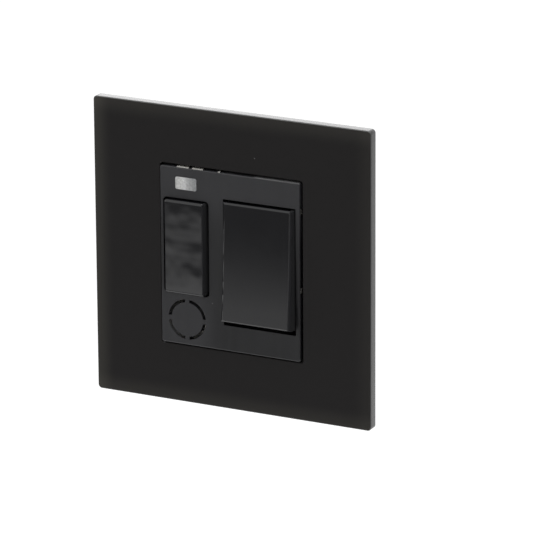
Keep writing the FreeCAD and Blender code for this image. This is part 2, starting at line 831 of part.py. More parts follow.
def draw_rocker_profile(item, face, half_face, half_skirt):
    """Side view of the rocker: a shallow arc in front, and ends that flare towards the skirt."""
    corners = [(face, size.rocker_lift - half_face), (face, size.rocker_lift + half_face),
               (size.rocker_skirt, half_skirt), (size.rocker_skirt, -half_skirt)]
    middle = V(face.value + size.rocker_dish.value, size.rocker_lift.value, 0)
    dish = item.addGeometry(Part.Arc(sketch_vector(corners[0]), middle, sketch_vector(corners[1])))
    stored = item.getPoint(dish, 1)
    start, end = (1, 2) if abs(stored.y - corners[0][1].value) < TOLERANCE else (2, 1)
    place_point(item, dish, start, corners[0])
    place_point(item, dish, end, corners[1])
    squared = half_face * half_face + size.rocker_dish * size.rocker_dish
    hold(item, "Radius", (dish,), squared / (size.rocker_dish * 2))
    previous = (dish, end)
    for n in (1, 2, 3):
        following = corners[(n + 1) % 4]
        line = item.addGeometry(Part.LineSegment(sketch_vector(corners[n]), sketch_vector(following)))
        item.addConstraint(Sketcher.Constraint("Coincident", previous[0], previous[1], line, 1))
        if n < 3:
            place_point(item, line, 2, following)
        previous = (line, 2)
    item.addConstraint(Sketcher.Constraint("Coincident", previous[0], previous[1], dish, start))


def rocker_face_edges(face, half_width, half_face):
    """A chooser for the four edges round the rocker's front."""
    def test(edge):
        box = edge_box(edge)
        in_front = box[4] < face + FACE_BAND
        across = abs(box[3] - box[0]) > half_width
        along = abs(box[5] - box[2]) > half_face
        return in_front and (across or along)
    return test


def make_plungers():
    """Two nylon plungers, each hollow for its spring and round at the nose."""
    for name, x in POLES.items():
        piece = Piece(name + "_plunger", (x, pivot_level, 0), -size.rocker_tilt)
        tail = -size.rocker_rise + size.rocker_dish + size.rocker_wall + size.plunger_tail * 2
        nose = size.plunger_reach
        radius = size.plunger_radius
        piece.add("front", [Circle(0, 0, radius)], tail, nose)
        piece.dress("Chamfer", size.nose_bevel, plunger_nose(piece))
        piece.cut("front", [Circle(0, 0, size.spring_radius + size.plunger_slack * 2)], tail,
                  size.plunger_tail)


def plunger_nose(piece):
    """A chooser for the rearmost edge of a plunger, whichever way the body is tilted."""
    doc.recompute()
    deepest = max(edge.CenterOfMass.y for edge in piece.body.Tip.Shape.Edges)
    return lambda edge: edge.CenterOfMass.y > deepest - TOLERANCE


def make_springs():
    """Two coil springs of square wire between the rocker's roof and the plungers' floors."""
    roof = -size.rocker_rise + size.rocker_dish + size.rocker_wall
    wire = size.spring_wire.value
    low = roof.value + wire
    high = size.plunger_tail.value - wire
    for name, x in POLES.items():
        height = high - low
        coil = Part.makeHelix(height / size.spring_turns.value, height, size.spring_radius.value - wire)
        coil.rotate(V(0, 0, 0), V(1, 0, 0), -90)
        coil.translate(V(0, low, 0))
        start = coil.Vertexes[0].Point
        corners = [start + V(wire * i, wire * j, 0) for i, j in ((-1, -1), (1, -1), (1, 1), (-1, 1))]
        section = Part.makePolygon(corners + corners[:1])
        shape = Part.Wire(coil.Edges).makePipeShell([section], True, True)
        item = doc.addObject("Part::Feature", name + "_spring")
        item.Label = name + "_plunger_spring"
        item.Shape = shape
        item.Placement = FreeCAD.Placement(V(x.value, pivot_level.value, 0),
                                           FreeCAD.Rotation(V(1, 0, 0), -size.rocker_tilt.value))


def make_moving_contacts():
    """Two brass bars that tip over their saddles, each with a silver tip at its upper end."""
    for name, x in POLES.items():
        place = (x, bar_pivot, 0)
        bar = Piece(name + "_moving_contact", place, contact_tilt)
        back = -size.bar_gap
        bar.add("front", [rectangle(-bar_width / 2, bar_width / 2, -size.bar_lower_arm,
                                    size.bar_upper_arm, size.tip_height)], back - size.bar_gauge, back)
        tip = Piece(name + "_moving_tip", place, contact_tilt)
        tip.add("front", [faceted(0, size.tip_arm, size.tip_radius)], back, back + size.tip_height)


def make_saddles():
    """Feed strips: each rises to a saddle under the moving contact and runs down to its terminal."""
    half = size.strip_gauge / 2
    for name, x in POLES.items():
        piece = Piece(name + "_saddle", (x, 0, 0))
        width = size.strip_width / 2
        low = -size.terminal_up
        piece.add("side", [polygon((bar_pivot, -half), (bar_pivot, half), (floor_front, half),
                                   (floor_front, low + half), (terminal_front, low + half),
                                   (terminal_front, low - half), (strip_front, low - half),
                                   (strip_front, -half))], -width, width)
        ear = bar_width / 2 + size.running_clearance * 2
        outer = ear + size.bar_gauge
        shoulder = bar_pivot + size.bar_gap + size.strip_gauge
        piece.add("front", [rectangle(-outer, outer, -half, half)], shoulder, shoulder + size.strip_gauge)
        for low_x, high_x in ((-outer, -ear), (ear, outer)):
            piece.add("front", [rectangle(low_x, high_x, -half, half)], bar_pivot - size.saddle_ear,
                      shoulder + size.strip_gauge)


def fixed_contact_levels():
    """Front of the fixed contact strip, worked out from the moving bar when it is closed."""
    sine = math.sin(math.radians(contact_tilt.value))
    drop = size.tip_arm * sine
    front = bar_pivot + drop + size.tip_height * 2
    return front


def make_fixed_contacts():
    """Two brass strips with a silver tip; the neutral one runs on to its load terminal."""
    front = fixed_contact_levels()
    inner = size.tip_arm - size.tip_radius
    riser = link_ups()[0]
    for name, x in POLES.items():
        piece = Piece(name + "_fixed_contact", (x, 0, 0))
        gauge = size.strip_gauge
        if name == "neutral":
            end = size.terminal_up + gauge / 2
            foot = [(floor_front, riser), (floor_front, end - gauge), (terminal_front, end - gauge),
                    (terminal_front, end), (strip_front, end)]
        else:
            foot = [(floor_front, riser), (floor_front, link_ups()[1]), (strip_front, link_ups()[1])]
        profile = [(front, inner), (front + gauge, inner), (front + gauge, riser)] + foot
        profile += [(strip_front, riser + gauge), (front, riser + gauge)]
        piece.add("side", [polygon(*profile)], -size.strip_width / 2, size.strip_width / 2)
        tip = Piece(name + "_fixed_tip", (x, 0, size.tip_arm))
        tip.add("front", [faceted(0, 0, size.tip_radius)], front - size.fixed_tip_height, front)


def make_live_link():
    """Flat strip from the live fixed contact across to the lower fuse clip."""
    piece = Piece("live_link")
    low, high = link_ups()
    right = POLES["live"] - size.strip_width / 2
    clip_edge = carrier_across + fuse_jaw_span() / 2
    column = clip_edge + size.window_gap * 2
    far_side = column + size.link_width
    foot_low, foot_high = clip_ups(-1)
    piece.add("front", [polygon((right, low), (right, high), (column, high), (column, foot_high),
                                (clip_edge, foot_high), (clip_edge, foot_low), (far_side, foot_low),
                                (far_side, low))], strip_front, floor_front)


def clip_ups(sign):
    """Lower and upper edge of a fuse clip."""
    end = size.fuse_length / 2 - (size.fuse_cap_length - size.clip_width) / 2
    if sign > 0:
        return size.carrier_up + end - size.clip_width, size.carrier_up + end
    return size.carrier_up - end, size.carrier_up - end + size.clip_width


def make_fuse_clips():
    """Two spring clips that grip the fuse caps; the upper one runs on to the live load terminal."""
    inner = size.fuse_radius + size.clip_clearance
    outer = inner + size.clip_gauge
    mouth = size.fuse_depth - size.clip_grip
    base = floor_front - size.clip_gauge
    lip = size.clip_lip
    for name, sign in (("lower", -1), ("upper", 1)):
        low, high = clip_ups(sign)
        piece = Piece("fuse_clip_" + name, (carrier_across, 0, 0))
        piece.add("plan", [polygon((-outer, floor_front), (-outer, mouth), (-outer - lip, mouth - lip),
                                   (-inner - lip, mouth - lip), (-inner, mouth), (-inner, base), (inner, base),
                                   (inner, mouth), (inner + lip, mouth - lip), (outer + lip, mouth - lip),
                                   (outer, mouth), (outer, floor_front))], low, high)
        if sign > 0:
            half = size.strip_gauge / 2
            end = size.terminal_up
            piece.add("side", [polygon((strip_front, high), (strip_front, end + half),
                                       (terminal_front, end + half), (terminal_front, end - half),
                                       (floor_front, end - half), (floor_front, high))],
                      -size.strip_width / 2, size.strip_width / 2)


def make_fuse():
    """Cartridge fuse: a ceramic tube with a pressed cap on each end."""
    place = (carrier_across, size.fuse_depth, size.carrier_up)
    tube = Piece("fuse_tube", place)
    end = size.fuse_length / 2 - size.fuse_cap_wall
    neck = size.fuse_radius - size.fuse_cap_wall
    shoulder = size.fuse_length / 2 - size.fuse_cap_length
    tube.add("plan", [Circle(0, 0, neck)], -end, end)
    tube.add("plan", [Circle(0, 0, size.fuse_tube_radius)], -shoulder, shoulder)
    for name, low, high, floor_low, floor_high in (
            ("upper", shoulder, size.fuse_length / 2, shoulder, end),
            ("lower", -size.fuse_length / 2, -shoulder, -end, -shoulder)):
        cap = Piece("fuse_cap_" + name, place)
        cap.add("plan", [Circle(0, 0, size.fuse_radius)], low, high)
        cap.cut("plan", [Circle(0, 0, neck)], floor_low, floor_high)


def make_fuse_carrier():
    """Pull-out carrier: a face with rounded edges and a cradle that snaps over the fuse's tube."""
    piece = Piece("fuse_carrier", (carrier_across, 0, size.carrier_up))
    front = insert_front - size.carrier_proud
    piece.add("front", [centred(0, 0, size.carrier_width, size.carrier_height, size.carrier_corner)],
              front, -size.carrier_seat)
    piece.dress("Fillet", size.carrier_edge, lies_at(1, front.value))
    back = size.fuse_depth + size.cradle_grip
    piece.add("front", [centred(0, 0, size.cradle_width, size.cradle_height)], -size.carrier_seat, back)
    tube = size.fuse_tube_radius + size.running_clearance
    half = size.cradle_height / 2
    piece.cut("plan", [Circle(0, size.fuse_depth, tube)], -half, half)
    piece.cut("front", [centred(0, 0, size.cradle_mouth, size.cradle_height)], size.fuse_depth, back)


def make_neon_lens():
    """Clear window with a flange behind the insert's face."""
    piece = Piece("neon_lens", (neon_across, 0, size.neon_up))
    gap = size.thread_clearance * 2
    piece.add("front", [centred(0, 0, size.neon_width - gap, size.neon_height - gap, size.neon_corner)],
              insert_front - size.neon_proud, face_back)
    flange = size.neon_flange * 2
    piece.add("front", [centred(0, 0, size.neon_width + flange, size.neon_height + flange)],
              face_back, face_back + size.neon_flange)


def make_neon_lamp():
    """Sealed glass lamp behind the lens, and the resistor beside it."""
    level = face_back + size.neon_flange + size.lamp_radius + size.running_clearance * 2
    left = neon_across - size.neon_width / 2
    right = left + size.lamp_length
    lamp = Piece("neon_lamp", (0, level, size.neon_up))
    lamp.add("side", [Circle(0, 0, size.lamp_radius)], left, right)
    lamp.dress("Chamfer", size.lamp_shoulder, lies_at(0, left.value))
    resistor = Piece("neon_resistor", (0, level, size.neon_up))
    start = right + size.resistor_length / 2
    resistor.add("side", [Circle(0, 0, size.resistor_radius)], start, start + size.resistor_length)
    resistor.dress("Chamfer", size.resistor_bevel, lambda edge: len(edge.Vertexes) < 2)


def make_terminals():
    """Six brass terminal blocks with a wire bore and a screw each."""
    bore_level = size.terminal_depth / 2
    for name, (x, z) in TERMINALS.items():
        block = Piece(name, (x, terminal_front, z))
        block.add("front", [centred(0, 0, size.terminal_width, size.terminal_height, size.rib_wall / 2)],
                  0, size.terminal_depth)
        half = size.terminal_height / 2
        block.cut("plan", [Circle(0, bore_level, size.terminal_bore)], -half, half)
        block.cut("front", [faceted(0, 0, size.terminal_screw_radius + size.thread_clearance)],
                  bore_level, size.terminal_depth)
    screws = Piece("terminal_screws", several=True)
    places = list(TERMINALS.values())
    end = terminal_front + bore_level + size.terminal_bore
    screws.add("front", [faceted(x, z, size.terminal_screw_radius) for x, z in places], end,
               terminal_back + size.running_clearance)
    head = terminal_back + size.running_clearance
    screws.add("front", [faceted(x, z, size.terminal_head_radius) for x, z in places], head,
               head + size.terminal_head_height)


def make_earth_strap():
    """Brass strap between the two earth terminals, with a leg that meets the yoke."""
    piece = Piece("earth_strap", (size.earth_across, 0, 0))
    low, high = earth_riser()
    front = terminal_front - size.strip_gauge
    piece.add("side", [polygon((terminal_front, -size.terminal_up), (terminal_front, high), (0, high), (0, low),
                               (front, low), (front, -size.terminal_up))],
              -size.strip_width / 2, size.strip_width / 2)


def make_cord_clamp():
    """Arched bar that grips a flex behind the outlet tunnel, and its two screws."""
    piece = Piece("cord_clamp", (outlet_across, housing_back, size.clamp_up))
    half = size.clamp_length / 2
    spread = size.clamp_screw_spread / 2
    inner = spread - size.case_screw_head - size.clamp_gauge / 2 - size.terminal_clearance
    top = size.clamp_arch + size.clamp_gauge
    piece.add("plan", [polygon((-half, 0), (-inner, 0), (-inner + size.clamp_arch, size.clamp_arch),
                               (inner - size.clamp_arch, size.clamp_arch), (inner, 0), (half, 0),
                               (half, size.clamp_gauge), (inner + size.clamp_gauge / 2, size.clamp_gauge),
                               (inner - size.clamp_arch + size.clamp_gauge / 2, top),
                               (-inner + size.clamp_arch - size.clamp_gauge / 2, top),
                               (-inner - size.clamp_gauge / 2, size.clamp_gauge), (-half, size.clamp_gauge))],
              -size.clamp_width / 2, size.clamp_width / 2)
    piece.cut("front", [faceted(spread * i, 0, pilot_radius) for i in (-1, 1)], 0, size.clamp_gauge)
    screws = Piece("cord_clamp_screws", several=True)
    places = clamp_screw_places()
    head = housing_back + size.clamp_gauge
    screws.add("front", [faceted(x, z, size.case_screw_radius) for x, z in places],
               housing_back - size.floor_depth / 2 + size.thread_clearance, head)
    screws.add("front", [faceted(x, z, size.case_screw_head) for x, z in places], head,
               head + size.terminal_head_height)


def lead_section(start, along):
    """Outline of a lead across its first run, as a polygon with few sides."""
    along = (along - start).normalize()
    side = along.cross(V(0, 0, 1)).normalize()
    other = along.cross(side)
    corners = []
    for n in range(LEAD_SIDES):
        angle = 2 * math.pi * n / LEAD_SIDES
        corners.append(start + (side * math.cos(angle) + other * math.sin(angle)) * size.lead_radius.value)
    return Part.makePolygon(corners + corners[:1])


def lead_end(across):
    """Last stretch of a neon lead: through the yoke's window and down on to a load strip."""
    touch = strip_front.value
    above = touch - size.lead_step.value
    foot = (size.terminal_up - size.strip_gauge / 2).value
    return [V(across, above, lead_up.value), V(across, above, foot), V(across, touch, foot)]


def make_neon_leads():
    """Wires from the lamp and its resistor down to the two load strips."""
    level = (face_back + size.neon_flange + size.lamp_radius + size.running_clearance * 2).value
    lamp_end = (neon_across - size.neon_width / 2 + size.lamp_length).value
    resistor_start = lamp_end + size.resistor_length.value / 2
    resistor_end = resistor_start + size.resistor_length.value
    up = size.neon_up.value
    spread = size.lamp_radius.value / 2
    turn = size.lead_turn.value
    behind_lamp = level + size.lamp_radius.value + size.lead_standoff.value
    live_x = carrier_across.value
    neutral_x = POLES["neutral"].value
    paths = [
        [V(lamp_end, level, up + spread), V(lamp_end + turn, level, up + spread),
         V(resistor_start - turn, level, up), V(resistor_start, level, up)],
        [V(resistor_end, level, up), V(neutral_x, level, up), V(neutral_x, level + turn, lead_up.value)]
        + lead_end(neutral_x),
        [V(lamp_end, level, up - spread), V(lamp_end + turn, level, up - spread),
         V(lamp_end + turn, behind_lamp, lead_up.value), V(live_x, behind_lamp, lead_up.value)]
        + lead_end(live_x),
    ]
    solids = []
    for points in paths:
        section = lead_section(points[0], points[1])
        solids.append(Part.makePolygon(points).makePipeShell([section], True, False, MITRED))
    item = doc.addObject("Part::Feature", "neon_leads")
    item.Label = "neon_leads"
    item.Shape = Part.makeCompound(solids)


def build_all():
    """Make every piece of the product."""
    make_glass_frame()
    make_frame_backing()
    make_mounting_yoke()
    make_front_housing()
    make_rear_housing()
    make_housing_screws()
    make_rocker()
    make_plungers()
    make_springs()
    make_moving_contacts()
    make_saddles()
    make_fixed_contacts()
    make_live_link()
    make_fuse_clips()
    make_fuse()
    make_fuse_carrier()
    make_neon_lens()
    make_neon_lamp()
    make_neon_leads()
    make_terminals()
    make_earth_strap()
    make_cord_clamp()


def write_all():
    """Check every object, then write each piece to its own file."""
    doc.recompute()
    failed = [item.Name for item in doc.Objects if "Invalid" in item.State or "Error" in item.State]
    if failed:
        raise RuntimeError("not built: " + ", ".join(failed))
    pieces = [item for item in doc.Objects
              if item.TypeId == "PartDesign::Body" or item.TypeId == "Part::Feature"]
    os.makedirs("parts", exist_ok=True)
    for item in pieces:
        if item.Shape.isNull() or not item.Shape.isValid():
            raise RuntimeError(item.Label + " has no valid shape")
    for item in pieces:
        item.Shape.exportStep("parts/%s.step" % item.Label)
    print("%d pieces written" % len(pieces))


build_all()
write_all()
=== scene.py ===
# Finishes, fine pieces and a plain studio for a black glass fused spur unit.
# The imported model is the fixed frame: +X to the right, +Y into the wall, +Z up, all in metres.

import math

import bmesh
import bpy
from mathutils import Matrix, Vector


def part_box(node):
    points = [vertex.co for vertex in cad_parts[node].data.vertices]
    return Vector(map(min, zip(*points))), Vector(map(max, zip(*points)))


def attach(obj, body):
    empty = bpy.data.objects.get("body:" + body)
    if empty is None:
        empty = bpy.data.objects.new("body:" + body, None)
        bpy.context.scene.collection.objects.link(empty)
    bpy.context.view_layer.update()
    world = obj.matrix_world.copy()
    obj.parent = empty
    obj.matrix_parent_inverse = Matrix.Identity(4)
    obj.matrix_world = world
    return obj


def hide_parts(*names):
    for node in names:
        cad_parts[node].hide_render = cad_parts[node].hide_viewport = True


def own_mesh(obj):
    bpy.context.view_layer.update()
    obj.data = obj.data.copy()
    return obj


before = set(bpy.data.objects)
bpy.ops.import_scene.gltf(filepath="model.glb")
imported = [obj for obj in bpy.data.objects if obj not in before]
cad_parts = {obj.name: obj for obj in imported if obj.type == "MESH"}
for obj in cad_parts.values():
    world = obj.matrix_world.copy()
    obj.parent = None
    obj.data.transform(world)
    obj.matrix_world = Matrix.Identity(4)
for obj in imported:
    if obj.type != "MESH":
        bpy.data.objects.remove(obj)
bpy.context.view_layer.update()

bl_info = {
    "name": "Fused spur unit",
    "version": (1, 0, 0),
    "blender": (4, 5, 0),
    "location": "3D View > Sidebar > Spur unit",
    "description": "Gives a packed fused spur unit its finishes, its fine pieces and a studio",
    "category": "Object",
}

MM = 0.001

# The mix node's sockets share their names, so its colours are reached by their place.
MIX_LOW = 6
MIX_HIGH = 7
MIX_COLOUR = 2

# The studio is far larger than the object, so what the object mirrors hardly shifts across it.
FLOOR_DROP = 0.60
FLOOR_SIDE = 8.0
FLOOR_GLOW = 0.6
ROOM_FILL = 0.5

# Each soft box: its name, place, size and power in watts. Both face the unit.
SOFT_BOXES = (
    ("soft box above", (0.1, 0.1, 0.9), (0.9, 0.7), 7.0),
    ("soft box behind", (-0.42, 1.05, 0.42), (1.2, 0.45), 3.3))

# The card's angles are in degrees, from the right side and round the front.
CARD_RADIUS = 1.3
CARD_TOP = 0.6
CARD_START = -24
CARD_SWEEP = 204
CARD_STEPS = 34

# How bright the card is at its foot, and from there at each height above the unit's middle.
CARD_FOOT = 0.24
CARD_LEVELS = ((-0.285, 0.2), (-0.262, 0.45), (-0.235, 0.75), (-0.18, 1.1), (0.1, 1.1))

# Across from the first place to the second, its light falls to this share.
CARD_FADE = (-0.5, -0.1)
CARD_RIGHT = 0.18


def linear(code):
    """The linear RGBA of an sRGB colour that is written as six hex digits."""
    channels = [int(code[place:place + 2], 16) / 255 for place in (0, 2, 4)]
    return [c / 12.92 if c <= 0.04045 else ((c + 0.055) / 1.055) ** 2.4 for c in channels] + [1.0]


def per_metre(millimetres):
    """The pattern scale at which one feature of a texture is that many millimetres wide."""
    return 1000 / millimetres


def add_node(tree, kind, settings=None, values=None, links=None):
    """Adds a node, with its own settings, its sockets' values and the sockets that feed it."""
    node = tree.nodes.new(kind)
    for name, value in (settings or {}).items():
        setattr(node, name, value)
    for socket, value in (values or {}).items():
        node.inputs[socket].default_value = value
    for socket, source in (links or {}).items():
        tree.links.new(source, node.inputs[socket])
    return node


def start_material(name, surface):
    """A new material with one surface shader, and the tree and the shader to go on from."""
    material = bpy.data.materials.new(name)
    material.use_nodes = True
    tree = material.node_tree
    tree.nodes.clear()
    shader = add_node(tree, "ShaderNodeBsdfPrincipled", values=surface)
    add_node(tree, "ShaderNodeOutputMaterial", links={"Surface": shader.outputs["BSDF"]})
    return material, tree, shader


def roughen(tree, shader, pattern, smoothest, roughest, depth):
    """Lets one pattern make a surface rougher and stand up from it by the depth."""
    softness = add_node(tree, "ShaderNodeMapRange", values={"To Min": smoothest, "To Max": roughest},
                        links={"Value": pattern})
    tree.links.new(softness.outputs["Result"], shader.inputs["Roughness"])
    relief = add_node(tree, "ShaderNodeBump", values={"Distance": depth}, links={"Height": pattern})
    tree.links.new(relief.outputs["Normal"], shader.inputs["Normal"])


def dimmed(colour, share):
    """A colour that keeps only that share of its light."""
    return [channel * share for channel in colour[:3]] + [1.0]


def vary_colour(tree, shader, place, grain_mm, detail, low, high):
    """Mixes a surface's colour from two by a noise of that grain, and returns the noise."""
    noise = add_node(tree, "ShaderNodeTexNoise", values={"Scale": per_metre(grain_mm), "Detail": detail},
                     links={"Vector": place})
    mixed = add_node(tree, "ShaderNodeMix", {"data_type": "RGBA"}, {MIX_LOW: low, MIX_HIGH: high},
                     {0: noise.outputs["Fac"]})
    tree.links.new(mixed.outputs[MIX_COLOUR], shader.inputs["Base Color"])
    return noise.outputs["Fac"]


# Materials of the front


def back_painted_glass(colours, half_side):
    """Toughened float glass, fire polished and painted black behind.

    The face is a deep black that mirrors the studio faintly. A margin a few millimetres wide near
    its edges is painted lighter and a little warmer, a painted glow of the light that runs in the
    glass and comes out there, most on the left, where the light comes from, and the margins add up
    in the corners.
    """
    margin_width = 6.5 * MM
    margin_past = 0.5 * MM
    right_share = 0.3
    upright_share = 0.63
    material, tree, shader = start_material("Back-painted float glass", {"Roughness": 0.06, "IOR": 1.52})
    place = add_node(tree, "ShaderNodeTexCoord").outputs["Object"]
    axes = add_node(tree, "ShaderNodeSeparateXYZ", links={"Vector": place})
    left_share = add_node(tree, "ShaderNodeMapRange",
                          values={"From Min": -half_side, "From Max": half_side,
                                  "To Min": 1.0, "To Max": right_share},
                          links={"Value": axes.outputs["X"]})
    margins = []
    for axis in ("X", "Z"):
        outward = add_node(tree, "ShaderNodeMath", {"operation": "ABSOLUTE"}, links={0: axes.outputs[axis]})
        margins.append(add_node(
            tree, "ShaderNodeMapRange", {"interpolation_type": "SMOOTHERSTEP"},
            {"From Min": half_side - margin_width, "From Max": half_side + margin_past},
            {"Value": outward.outputs[0]}))
    sides = add_node(tree, "ShaderNodeMath", {"operation": "MULTIPLY"},
                     links={0: margins[0].outputs["Result"], 1: left_share.outputs["Result"]})
    both = add_node(tree, "ShaderNodeMath", {"operation": "MULTIPLY_ADD"}, {1: upright_share},
                    {0: margins[1].outputs["Result"], 2: sides.outputs[0]})
    # The margin's paler colour is a painted glow, strongest on the left.
    colour = add_node(tree, "ShaderNodeMix", {"data_type": "RGBA", "clamp_factor": False},
                      {MIX_LOW: colours.glass_face, MIX_HIGH: colours.glass_edge_glow}, {0: both.outputs[0]})
    tree.links.new(colour.outputs[MIX_COLOUR], shader.inputs["Base Color"])
    return material


def ground_glass_edge(colours, front, back):
    """The edge of the glass, ground with a fine wheel and then polished.

    Its narrow front bevel is painted pale, a painted highlight. Behind it the edge is painted dark at
    the front, a painted shade, and paler towards its back, a painted reflection, and the wheel's
    marks along the edge soften what it mirrors.
    """
    bevel_end = 0.06
    shade_start = 0.09
    shade_end = 0.25
    material, tree, shader = start_material("Ground and polished glass edge", {"IOR": 1.52})
    place = add_node(tree, "ShaderNodeTexCoord").outputs["Object"]
    axes = add_node(tree, "ShaderNodeSeparateXYZ", links={"Vector": place})
    depth = add_node(tree, "ShaderNodeMapRange", values={"From Min": front, "From Max": back},
                     links={"Value": axes.outputs["Y"]})
    # The bevel's highlight, the dark front and the paler back are painted light in the edge's colour.
    tones = add_node(tree, "ShaderNodeValToRGB", links={"Fac": depth.outputs["Result"]})
    stops = tones.color_ramp.elements
    stops[0].position, stops[0].color = 0.0, colours.edge_bevel
    stops[1].position, stops[1].color = 1.0, colours.edge_back_reflection
    stops.new(bevel_end).color = colours.edge_bevel
    stops.new(shade_start).color = colours.edge_front_shade
    stops.new(shade_end).color = colours.edge_front_shade
    tree.links.new(tones.outputs["Color"], shader.inputs["Base Color"])
    # The wheel's marks are finer than 0.1 mm, which wouldn't show, so they are drawn wider.
    stretched = add_node(tree, "ShaderNodeMapping", values={"Scale": (1.0, 14.0, 1.0)},
                         links={"Vector": place})
    marks = add_node(tree, "ShaderNodeTexNoise", values={"Scale": per_metre(6.0), "Detail": 3.0},
                     links={"Vector": stretched.outputs["Vector"]})
    roughen(tree, shader, marks.outputs["Fac"], 0.16, 0.3, 0.01 * MM)
    return material


def satin_insert(colours, top):
    """Black ABS, moulded in a satin-polished tool.

    The satin breaks a reflection up into a wide sheen. Slow waves, where the face sank behind the
    wells while it cooled, bend it, and faint upright streaks follow the way that the plastic flowed.
    The band above the wells and the corner round the knock-out are painted paler, a painted sheen,
    and the right half of the top edge is painted light, a painted highlight along the edge.
    """
    # Along which axis each zone starts and is full, in millimetres from the middle of the plate.
    above_wells = ("Z", 6, 22)
    left_side = ("X", -3, -11)
    low_down = ("Z", -7, -14)
    # The right half of the top edge is painted light, a painted highlight, across this strip.
    painted_highlight_from = 7.5 * MM
    painted_highlight_full = 8.5 * MM
    painted_highlight_depth = 0.16 * MM
    material, tree, shader = start_material("Satin moulded ABS", {"IOR": 1.54})
    place = add_node(tree, "ShaderNodeTexCoord").outputs["Object"]
    axes = add_node(tree, "ShaderNodeSeparateXYZ", links={"Vector": place})
    # These zones mark where the face is painted paler, a painted sheen.
    above, left, below = (
        add_node(tree, "ShaderNodeMapRange", {"interpolation_type": "SMOOTHSTEP"},
                 {"From Min": start * MM, "From Max": full * MM}, {"Value": axes.outputs[axis]})
        for axis, start, full in (above_wells, left_side, low_down))
    corner = add_node(tree, "ShaderNodeMath", {"operation": "MULTIPLY"},
                      links={0: left.outputs["Result"], 1: below.outputs["Result"]})
    pale = add_node(tree, "ShaderNodeMath", {"operation": "MAXIMUM"},
                    links={0: above.outputs["Result"], 1: corner.outputs[0]})
    face = add_node(tree, "ShaderNodeMix", {"data_type": "RGBA"},
                    {MIX_LOW: colours.insert, MIX_HIGH: colours.insert_sheen}, {0: pale.outputs[0]})
    right = add_node(tree, "ShaderNodeMapRange", values={"From Min": painted_highlight_from, "From Max": painted_highlight_full},
                     links={"Value": axes.outputs["X"]})
    edge = add_node(tree, "ShaderNodeMapRange",
                    values={"From Min": top - painted_highlight_depth, "From Max": top - painted_highlight_depth / 2},
                    links={"Value": axes.outputs["Z"]})
    painted_highlight = add_node(tree, "ShaderNodeMath", {"operation": "MULTIPLY"},
                      links={0: right.outputs["Result"], 1: edge.outputs["Result"]})
    # The light grey on the top edge is a painted highlight.
    colour = add_node(tree, "ShaderNodeMix", {"data_type": "RGBA"}, {MIX_HIGH: linear("6A6A6B")},
                      {0: painted_highlight.outputs[0], MIX_LOW: face.outputs[MIX_COLOUR]})
    tree.links.new(colour.outputs[MIX_COLOUR], shader.inputs["Base Color"])
    drawn = add_node(tree, "ShaderNodeMapping", values={"Scale": (1.0, 1.0, 0.08)}, links={"Vector": place})
    streaks = add_node(tree, "ShaderNodeTexNoise", values={"Scale": per_metre(2.2), "Detail": 2.0},
                       links={"Vector": drawn.outputs["Vector"]})
    softness = add_node(tree, "ShaderNodeMapRange", values={"To Min": 0.26, "To Max": 0.38},
                        links={"Value": streaks.outputs["Fac"]})
    tree.links.new(softness.outputs["Result"], shader.inputs["Roughness"])
    waves = add_node(tree, "ShaderNodeTexNoise", values={"Scale": per_metre(17.0), "Detail": 1.0},
                     links={"Vector": place})
    slow = add_node(tree, "ShaderNodeBump", values={"Distance": 0.35 * MM},
                    links={"Height": waves.outputs["Fac"]})
    # The satin's pits are finer than 0.1 mm, which wouldn't show, so they are drawn wider.
    pits = add_node(tree, "ShaderNodeTexNoise", values={"Scale": per_metre(0.35), "Detail": 2.0},
                    links={"Vector": place})
    fine = add_node(tree, "ShaderNodeBump", values={"Distance": 0.004 * MM},
                    links={"Height": pits.outputs["Fac"], "Normal": slow.outputs["Normal"]})
    tree.links.new(fine.outputs["Normal"], shader.inputs["Normal"])
    return material


def dulled_flank(tree, softness, across, flank, depth):
    """The given roughness, rising to matt near an upright flank that the mould's polisher didn't reach."""
    full_share = 0.7
    matt = add_node(tree, "ShaderNodeMapRange",
                    values={"From Min": flank - depth, "From Max": flank - full_share * depth, "To Max": 1.0},
                    links={"Value": across})
    rougher = add_node(tree, "ShaderNodeMath", {"operation": "MAXIMUM"},
                       links={0: softness, 1: matt.outputs["Result"]})
    return rougher.outputs[0]


def gloss_rocker(colours, flank):
    """Black polycarbonate from a polished mould: a clear, slightly soft mirror of the studio.

    The rounded bevel and the side at its right are dull.
    """
    dull_depth = 1.3 * MM
    material, tree, shader = start_material("Gloss moulded polycarbonate", {
        "Base Color": colours.rocker, "IOR": 1.585})
    place = add_node(tree, "ShaderNodeTexCoord").outputs["Object"]
    patches = add_node(tree, "ShaderNodeTexNoise", values={"Scale": per_metre(8.0), "Detail": 2.0},
                       links={"Vector": place})
    softness = add_node(tree, "ShaderNodeMapRange", values={"To Min": 0.08, "To Max": 0.12},
                        links={"Value": patches.outputs["Fac"]})
    axes = add_node(tree, "ShaderNodeSeparateXYZ", links={"Vector": place})
    dulled = dulled_flank(tree, softness.outputs["Result"], axes.outputs["X"], flank, dull_depth)
    tree.links.new(dulled, shader.inputs["Roughness"])
    waves = add_node(tree, "ShaderNodeTexNoise", values={"Scale": per_metre(20.0), "Detail": 0.0},
                     links={"Vector": place})
    slow = add_node(tree, "ShaderNodeBump", values={"Distance": 0.02 * MM},
                    links={"Height": waves.outputs["Fac"]})
    tree.links.new(slow.outputs["Normal"], shader.inputs["Normal"])
    return material


